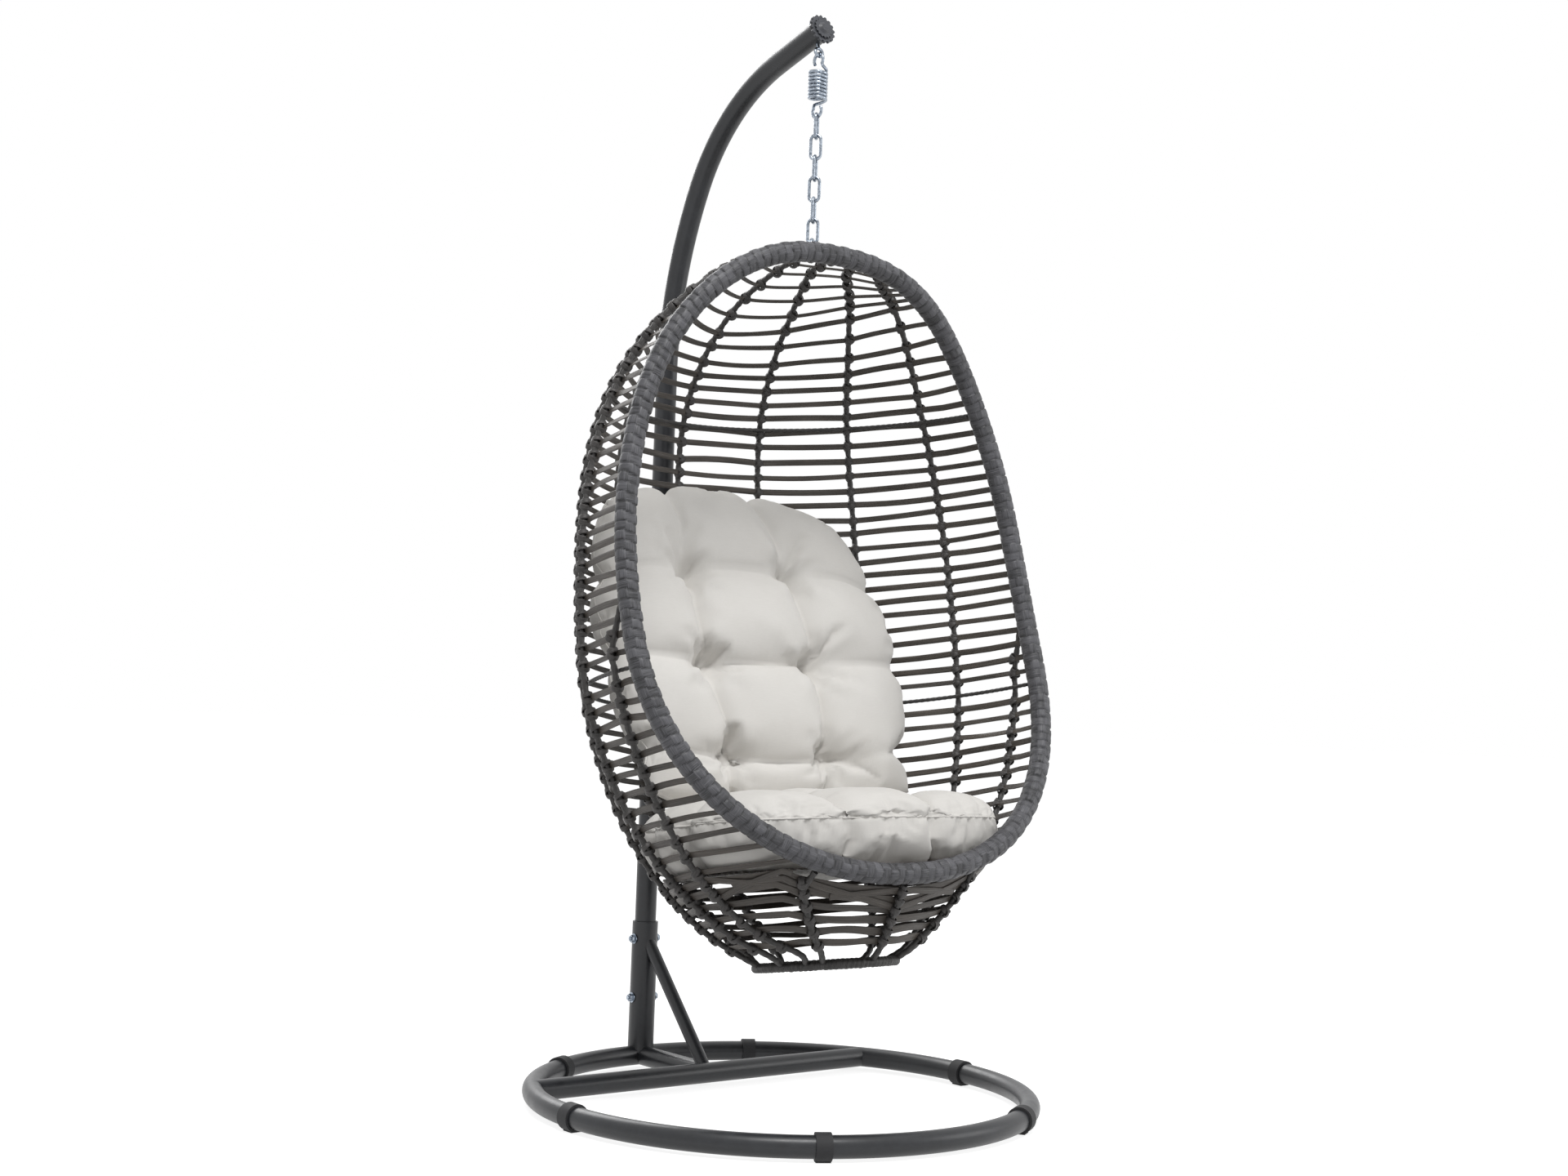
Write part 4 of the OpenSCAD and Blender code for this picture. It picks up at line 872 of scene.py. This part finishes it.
def wound_ring(name, line, front, radius, pitch, depth, runners, material, node_name, sides=36):
    """A rod wound closely with strap, with runner straps laid lengthwise over and under the turns.
    front gives the way the runners face; runners are (angle, half width) pairs in degrees."""
    t = tangents(line, loop=True)
    n = unit(front - t * (front * t).sum(-1, keepdims=True))
    b = np.cross(t, n)
    run = run_of(line, loop=True) * 1000
    total = run[-1]
    turns = int(round(total / pitch / 2)) * 2
    pitch = total / turns
    ang = np.linspace(-np.pi, np.pi, sides, endpoint=False)
    place_along = run[:-1, None] + 2.4 * np.sin(ang)[None] + 1.1 * np.sin(3 * ang + 1)[None]
    strip_no = np.floor(place_along / pitch).astype(int) % turns
    f = place_along / pitch - np.floor(place_along / pitch)
    edge = np.minimum(f, 1 - f) * pitch
    jitter = chance.normal(0, 0.22, turns)
    r = radius + jitter[strip_no] + depth * (1 - np.exp(-edge / 1.2)) + 0.3 * np.sin(np.pi * f)
    kind = np.zeros(r.shape)
    for number, (at, half) in enumerate(runners):
        off = np.degrees(np.angle(np.exp(1j * (ang - math.radians(at)))))
        inside = np.abs(off) < half
        over = (strip_no + number) % 2 == 0
        shown = inside[None] & over
        flat = np.clip((half - np.abs(off)) / 5.0, 0, 1)[None] * np.clip(edge / 1.2, 0, 1)
        r = np.where(shown, radius + depth * (0.9 + 0.9 * flat ** 0.5) + 0.5 * np.sin(np.pi * f), r)
        kind = np.where(shown, number + 1, kind)
    rings = sections(line, r, ang, n, b)
    i, j, quads = grid_cells(len(line), sides, loop=True)
    around = np.linspace(0, 2 * np.pi * radius, sides + 1) * 0.001
    along = run * 0.001
    long_way = kind[i, j] > 0
    patch = strip_no[i, j] * 4 + kind[i, j]
    shift = chance.uniform(0, 20, turns * 4 + 4)[patch.astype(int)]
    # Painted shade: darker towards the edges of each wound turn, in the crevice where turns meet; the wound
    # turns are also a step darker than the runners.
    painted_seam_shade = 0.8 * np.exp(-edge / 1.3) + np.where(kind > 0, 0.0, 0.12)
    tones = chance.normal(0.34, 0.22, turns * 4 + 4)[patch.astype(int)] - painted_seam_shade[i, j]
    corners = [(along[i + p], around[j + q]) for p, q in CORNERS]
    uv = np.stack([np.where(long_way[:, None], np.stack([x + shift, y], -1), np.stack([y + shift, x], -1))
                   for x, y in corners], 1)
    obj = make_mesh(name, in_frame(rings.reshape(-1, 3)), quads, material, uv.reshape(-1, 2), tones, sharp=50)
    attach(obj, "basket")
    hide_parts(node_name)


rim_line = evenly(rim_turn(np.linspace(0, 360, 2881)[:-1]), 2.2, closed=True)
rim_centre = np.array([0.0, 0.0, -600.0])
away = unit((rim_line - rim_centre) * np.array([1, 0, 1]))
rim_front = unit(away * 0.25 + np.array([0, -1.0, 0]))
wound_ring("wrapped_rim", rim_line, rim_front, 16.6, 17.0, 1.5, ((-50, 25), (0, 25), (50, 25)), rim_strap,
           "rim_wrap")

turn = np.linspace(0, 2 * np.pi, 361)[:-1]
ring_line = np.stack([FOOT_R * np.sin(turn), -float(mid_v(EGG_H)) - FOOT_R * np.cos(turn),
                      np.full(360, -EGG_H)], -1)
wound_ring("wrapped_bottom_ring", ring_line, unit(ring_line - ring_line.mean(0)), 7.4, 9.0, 0.8, (),
           rod_strap, "bottom_ring", sides=16)


# ---- The seat floor ----

def woven_floor():
    """Straps woven over and under each other, cut to the outline of the seat floor."""
    strips = Strips()
    level = FLOOR_H + FLOOR_T / 2
    angles = np.linspace(-180, 180, 181)[:-1]
    outline = skin_off(angles, np.full(180, FLOOR_H + FLOOR_T), -5.0)[:, :2]
    gap = rim_gap(np.column_stack([outline, np.full(180, -level)]))
    middle = np.array([0.0, float(outline[:, 1].mean())])
    outline = middle + (outline - middle) * np.where(gap < 28, 1 - (28 - gap) / 250, 1)[:, None]

    def reach(at, axis):
        a, b = outline, np.roll(outline, -1, 0)
        hit = (a[:, axis] - at) * (b[:, axis] - at) < 0
        a, b = a[hit], b[hit]
        t = (at - a[:, axis]) / (b[:, axis] - a[:, axis])
        other = a[:, 1 - axis] + t * (b[:, 1 - axis] - a[:, 1 - axis])
        return (other.min(), other.max()) if len(other) > 1 else None

    pitch = 15.0
    for axis in (0, 1):
        low, high = (outline[:, axis].min(), outline[:, axis].max())
        for number, at in enumerate(np.arange(low + pitch / 2, high, pitch)):
            span = reach(at, axis)
            if span is None or span[1] - span[0] < 30:
                continue
            run = np.arange(span[0] + 2, span[1] - 2, 5.0)
            wave = 1.3 * np.cos(np.pi * (run / pitch) + np.pi * (number + axis))
            line = np.zeros((len(run), 3))
            line[:, axis], line[:, 1 - axis], line[:, 2] = at, run, -level + wave
            face = np.tile([0, 0, 1.0], (len(run), 1))
            add_strap(strips, line, face, 13.2, 1.6, chance.normal(0.1, 0.12))
    return strips.make("woven_seat_floor", wall_strap)


floor_weave = woven_floor()
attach(floor_weave, "basket")
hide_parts("seat_floor")


# ---- The cushions ----

TUFT_DEPTH, CREASE_DEPTH, STITCH_DEPTH = 36, 18, 7
TUFT_HOLD = 13  # radius that a tuft holds still while the cushion is blown up
CUSHION_GRID = 96  # cells along each side of a cushion's face


def dent(x, c, w):
    return np.exp(-((x - c) / w) ** 2)


def cushion_points(spec, n, seed):
    """Front and rear faces of a cushion on one grid, and the height of its fine folds."""
    rng = np.random.default_rng(seed)
    w, l, t, xs, ys = (spec[key] for key in ("w", "l", "t", "xs", "ys"))
    share = np.sin(np.radians(90 * (2 * np.arange(n + 1) / n - 1)))
    i, j = np.meshgrid(share, share, indexing="ij")
    x, y = i * w / 2, j * l / 2
    crown = ((1 - np.abs(i) ** 3.2) * (1 - np.abs(j) ** 3.2)) ** 0.5
    pit = sum(dent(x, p, 30) * dent(y, q, 30) for p in xs for q in ys)
    inside_x = 1 - 0.45 * ramp((np.abs(x) - 150) / 110)
    inside_y = 1 - 0.45 * ramp((np.abs(y - np.mean(ys)) - np.ptp(ys) / 2 - 30) / 80)
    across = sum(dent(y, q, 22) for q in ys) * inside_x
    down = sum(dent(x, p, 22) for p in xs) * inside_y
    thin = sum(dent(y, q, 7) for q in ys) * inside_x ** 2 + sum(dent(x, p, 7) for p in xs) * inside_y ** 2
    fold = np.minimum(1.3, across + down)
    drawn_x = 1 - 0.06 * np.minimum(1, sum(dent(y, q, 30) for q in ys))
    drawn_y = 1 - 0.06 * np.minimum(1, sum(dent(x, p, 30) for p in xs))
    corner = np.where(j > 0, spec["round_top"], spec["corner"])
    px = x * np.sqrt(1 - corner * j * j) * drawn_x
    py = y * np.sqrt(1 - corner * i * i) * drawn_y
    rays = np.zeros_like(x)
    for p in xs:
        for q in ys:
            r = np.hypot(x - p, y - q)
            turn = np.arctan2(y - q, x - p)
            rays += np.exp(-r / 48) * (1 - np.exp(-r / 10)) * np.sin(
                turn * rng.integers(7, 10) + rng.uniform(0, 6) + 0.6 * np.sin(turn * 2 + rng.uniform(0, 6)))
    edge = np.minimum(1 - np.abs(i), 1 - np.abs(j))
    way = np.where(1 - np.abs(i) < 1 - np.abs(j), y, x)
    pucker = np.exp(-edge / 0.09) * (1 - np.exp(-edge / 0.02)) * (
        np.sin(way / 9.0 + 2 * np.sin(way / 47)) + 0.6 * np.sin(way / 5.3 + 1))
    soft = sum(rng.normal(0, 1.3)
               * np.sin(x * rng.uniform(.01, .03) + y * rng.uniform(-.03, .03) + rng.uniform(0, 6))
               for _ in range(5))
    wrinkle = 2.6 * rays * crown + 1.3 * pucker * crown
    faces = []
    boxed = ((1 - np.abs(i) ** spec["square"]) * (1 - np.abs(j) ** spec["square"])) ** 0.5
    for side, thick in ((1, t * spec["front"]), (-1, t * (1 - spec["front"]))):
        deep = 1.0 if side > 0 else 0.75
        crown = crown if side > 0 else boxed
        sewn = TUFT_DEPTH * pit + CREASE_DEPTH * fold + STITCH_DEPTH * thin
        z = crown * (thick - deep * sewn + 3.4 * rays + 1.1 * pucker + soft)
        z = np.maximum(crown * 0.12 * thick, z)
        faces.append(np.stack([px, py, side * z + spec["bend"] * i ** 2], -1))
    return faces, wrinkle


def normals_of(points, quads):
    a, b, c, d = (points[quads[:, k]] for k in range(4))
    face = np.cross(c - a, d - b)
    total = np.zeros_like(points)
    for k in range(4):
        np.add.at(total, quads[:, k], face)
    return unit(total)


def stuffed(name, points, quads, spec, ids, cap):
    """The cushion blown up by cloth simulation, held at its tufts and its sewn edge."""
    obj = make_mesh(name + "_case", points * 0.001, quads, cushion_canvas)
    held = obj.vertex_groups.new(name="sewn")
    x, y = points[:, 0], points[:, 1]
    for p in spec["xs"]:
        for q in spec["ys"]:
            near = np.where(np.hypot(x - p, y - q) < TUFT_HOLD)[0]
            held.add(near.tolist(), 1.0, "REPLACE")
    edge = np.unique(np.concatenate([ids[0], ids[-1], ids[:, 0], ids[:, -1]]))
    held.add(edge.tolist(), spec["edge_hold"], "REPLACE")
    cloth = obj.modifiers.new("stuffing", "CLOTH")
    s = cloth.settings
    s.quality, s.mass, s.air_damping = 5, 0.3, 2.0
    s.tension_stiffness = s.compression_stiffness = 12.0
    s.shear_stiffness, s.bending_stiffness = 5.0, 0.03
    s.shrink_min = -0.08
    s.use_pressure, s.uniform_pressure_force = True, 5.0
    s.effector_weights.gravity = 0.0
    s.vertex_group_mass = "sewn"
    s.pin_stiffness = 3.0
    cloth.point_cache.frame_start, cloth.point_cache.frame_end = 1, 24
    scene = bpy.context.scene
    for k in range(1, 21):
        scene.frame_set(k)
    shaped = obj.evaluated_get(bpy.context.evaluated_depsgraph_get())
    new = np.zeros(len(points) * 3, np.float32)
    shaped.data.vertices.foreach_get("co", new)
    new = new.reshape(-1, 3) * 1000
    move = new - points
    far = np.linalg.norm(move, axis=1, keepdims=True)
    move *= np.minimum(1, cap / np.maximum(far, 1e-6))
    scene.frame_set(1)
    bpy.data.objects.remove(obj)
    return points + move


def cushion_mesh(name, spec, spot, cap):
    """A cushion and its welt. cap is how far the cloth may move, in millimetres."""
    (front, rear), wrinkle = cushion_points(spec, CUSHION_GRID, seed=len(name))
    size = CUSHION_GRID + 1
    ids = np.arange(size * size).reshape(size, size)
    inner = np.zeros((size, size), bool)
    inner[1:-1, 1:-1] = True
    rear_ids = ids.copy()
    rear_ids[inner] = size * size + np.arange(inner.sum())
    points = np.vstack([front.reshape(-1, 3), rear[inner]])

    def quads(grid, flip):
        q = np.stack([grid[:-1, :-1], grid[1:, :-1], grid[1:, 1:], grid[:-1, 1:]], -1).reshape(-1, 4)
        return q[:, ::-1] if flip else q

    shell = np.vstack([quads(ids, False), quads(rear_ids, True)])
    points = stuffed(name, points, shell, spec, ids, cap)
    points += normals_of(points, shell) * np.concatenate([wrinkle.ravel(), wrinkle[inner]])[:, None]
    y0, z0, lean = spot
    c, s = cos_d(lean), sin_d(lean)
    x, y, z = points.T
    local = np.stack([x, y * c - z * s + y0, y * s + z * c + z0], -1)
    obj = make_mesh(name, in_frame(local), shell, cushion_canvas)
    welt = Strips()
    rim = np.concatenate([ids[0, :-1], ids[:-1, -1], ids[-1, :0:-1], ids[:0:-1, 0]])
    add_tube(welt, evenly(local[rim], 5.0, closed=True), 1.6, sides=8, first=(0, 0, 1), loop=True)
    cord = welt.make(name + "_seam", cushion_canvas, sharp=0)
    cord.parent = obj
    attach(obj, "basket")
    return obj


seat = cushion_mesh("seat_pillow", SEAT, SEAT_PLACE, 22.0)
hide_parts("seat_cushion")
back = cushion_mesh("back_pillow", BACK, BACK_PLACE, 28.0)
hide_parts("back_cushion")


# ---- The spring ----

WIRE_R, COIL_R, COIL_PITCH, COIL_TURNS, HOOK_R, HOOK_RISE = 3.0, 15.8, 6.8, 8, 12.5, 21.0
COIL_TOP, COIL_FOOT = 1913.67, 1859.27


def end_hook():
    pts = [(0, HOOK_R * math.cos(math.radians(a)), HOOK_RISE + HOOK_R * math.sin(math.radians(a)))
           for a in np.arange(-35, 215.1, 5)]
    y0 = -HOOK_R * math.cos(math.radians(35))
    z0 = HOOK_RISE - HOOK_R * math.sin(math.radians(35))
    for k in np.linspace(0.3, 5.7, 12):
        t = k / 6
        a = math.radians(90 * t * t)
        r = -y0 + (COIL_R + y0) * t * t * (3 - 2 * t)
        pts.append((r * math.sin(a), -r * math.cos(a), z0 * (1 - t) * (1 - 0.35 * t)))
    return np.array(pts)


def spring_piece():
    a = np.radians(np.arange(0, 360 * COIL_TURNS + 1, 9))
    coil = np.stack([COIL_R * np.cos(a), COIL_R * np.sin(a), -COIL_PITCH * a / (2 * np.pi)], -1)
    hook = end_hook()
    length = COIL_PITCH * COIL_TURNS
    low = hook[::-1] * np.array([1, -1, -1]) + np.array([0, 0, -length])
    line = np.vstack([hook, coil, low]) + np.array([0, HANG_Y, COIL_TOP])
    strips = Strips()
    add_tube(strips, line, WIRE_R, sides=14)
    return strips.make("hanging_spring", zinc_plate, egg=False)


spring = spring_piece()
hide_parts("spring")
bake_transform(spring)

# ---- Finishes of the frame's own parts ----

FINISHES = {
    powder_coat: ["base_ring", "cross_tube", "base_strut", "socket_post", "brace", "lower_pole", "upper_arm"],
    pad_rubber: ["floor_pad_%d" % k for k in range(1, 7)],
    zinc_plate: ["socket_bolts", "socket_washers", "socket_nuts", "hook_bolt", "hook_washer", "rim_eye"]
                + ["chain_link_%d" % k for k in range(1, 7)],
    cap_plastic: ["end_cap", "hook_nut"],
    bare_steel: ["rim_frame"],
}
for finish, names in FINISHES.items():
    for name in names:
        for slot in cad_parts[name].material_slots:
            slot.material = finish

# ---- Floor, light and camera ----

def seen_rays(tree):
    """1 for camera, glossy and transmission rays, and 0 for the rays that light the object."""
    rays = tree.nodes.new("ShaderNodeLightPath")
    other = maths(tree, "MAXIMUM", rays.outputs["Is Glossy Ray"], rays.outputs["Is Transmission Ray"])
    return maths(tree, "MAXIMUM", rays.outputs["Is Camera Ray"], other)


def studio_floor():
    mesh = bpy.data.meshes.new("studio_floor")
    mesh.from_pydata([(-40, -40, 0), (40, -40, 0), (40, 40, 0), (-40, 40, 0)], [], [(0, 1, 2, 3)])
    obj = place_new("studio_floor", mesh)
    mat, tree, shader, here = start_material("studio_floor_paint", Roughness=1.0, Specular_IOR_Level=0.0,
                                             Emission_Color=(1, 1, 1, 1))
    cloud = place(tree, MOTTLE, {"Vector": here.outputs["Object"], "Size": 2.0, "Contrast": 0.1})
    paint = mix_colour(tree, cloud.outputs["Value"], (0.42, 0.42, 0.42, 1), (0.43, 0.43, 0.43, 1))
    glow = maths(tree, "MULTIPLY", seen_rays(tree), 0.84)
    fill(tree, shader, {"Base Color": paint, "Emission Strength": glow})
    mesh.materials.append(mat)


def studio_world():
    world = bpy.data.worlds.new("studio")
    bpy.context.scene.world = world
    world.use_nodes = True
    tree = world.node_tree
    seen = seen_rays(tree)
    background = tree.nodes["Background"]
    background.inputs["Color"].default_value = (1, 1, 1, 1)
    tree.links.new(remap(tree, seen, 0.0, 1.0, 0.46, 1.0), background.inputs["Strength"])


def lamp(name, place_at, aim, size, power):
    data = bpy.data.lights.new(name, "AREA")
    data.shape, data.size, data.energy = "DISK", size, power
    obj = place_new(name, data)
    obj.location = place_at
    obj.rotation_euler = (Vector(aim) - Vector(place_at)).to_track_quat("-Z", "Y").to_euler()


studio_floor()
studio_world()
for name, place_at, size, power in (("key_light", (-1.2, -2.4, 5.6), 1.8, 190),
                                    ("fill_light", (3.8, -3.2, 2.2), 2.6, 45),
                                    ("back_light", (0.5, 4.2, 3.6), 3.0, 110)):
    lamp(name, place_at, (0, 0, 1.0), size, power)

camera_data = bpy.data.cameras.new("studio_camera")
camera_data.lens, camera_data.sensor_width, camera_data.sensor_fit = 47.6482, 36.0, "HORIZONTAL"
camera = place_new("studio_camera", camera_data)
camera.matrix_world = Matrix((
    (0.78020943, -0.06142876, -0.62249478, -2.406015),
    (-0.62449409, -0.01956675, -0.78078440, -2.973502),
    (0.03578242, 0.99791966, -0.05362806, 0.739203),
    (0, 0, 0, 1)))
bpy.context.scene.camera = camera
bpy.context.scene.view_settings.view_transform = "Standard"
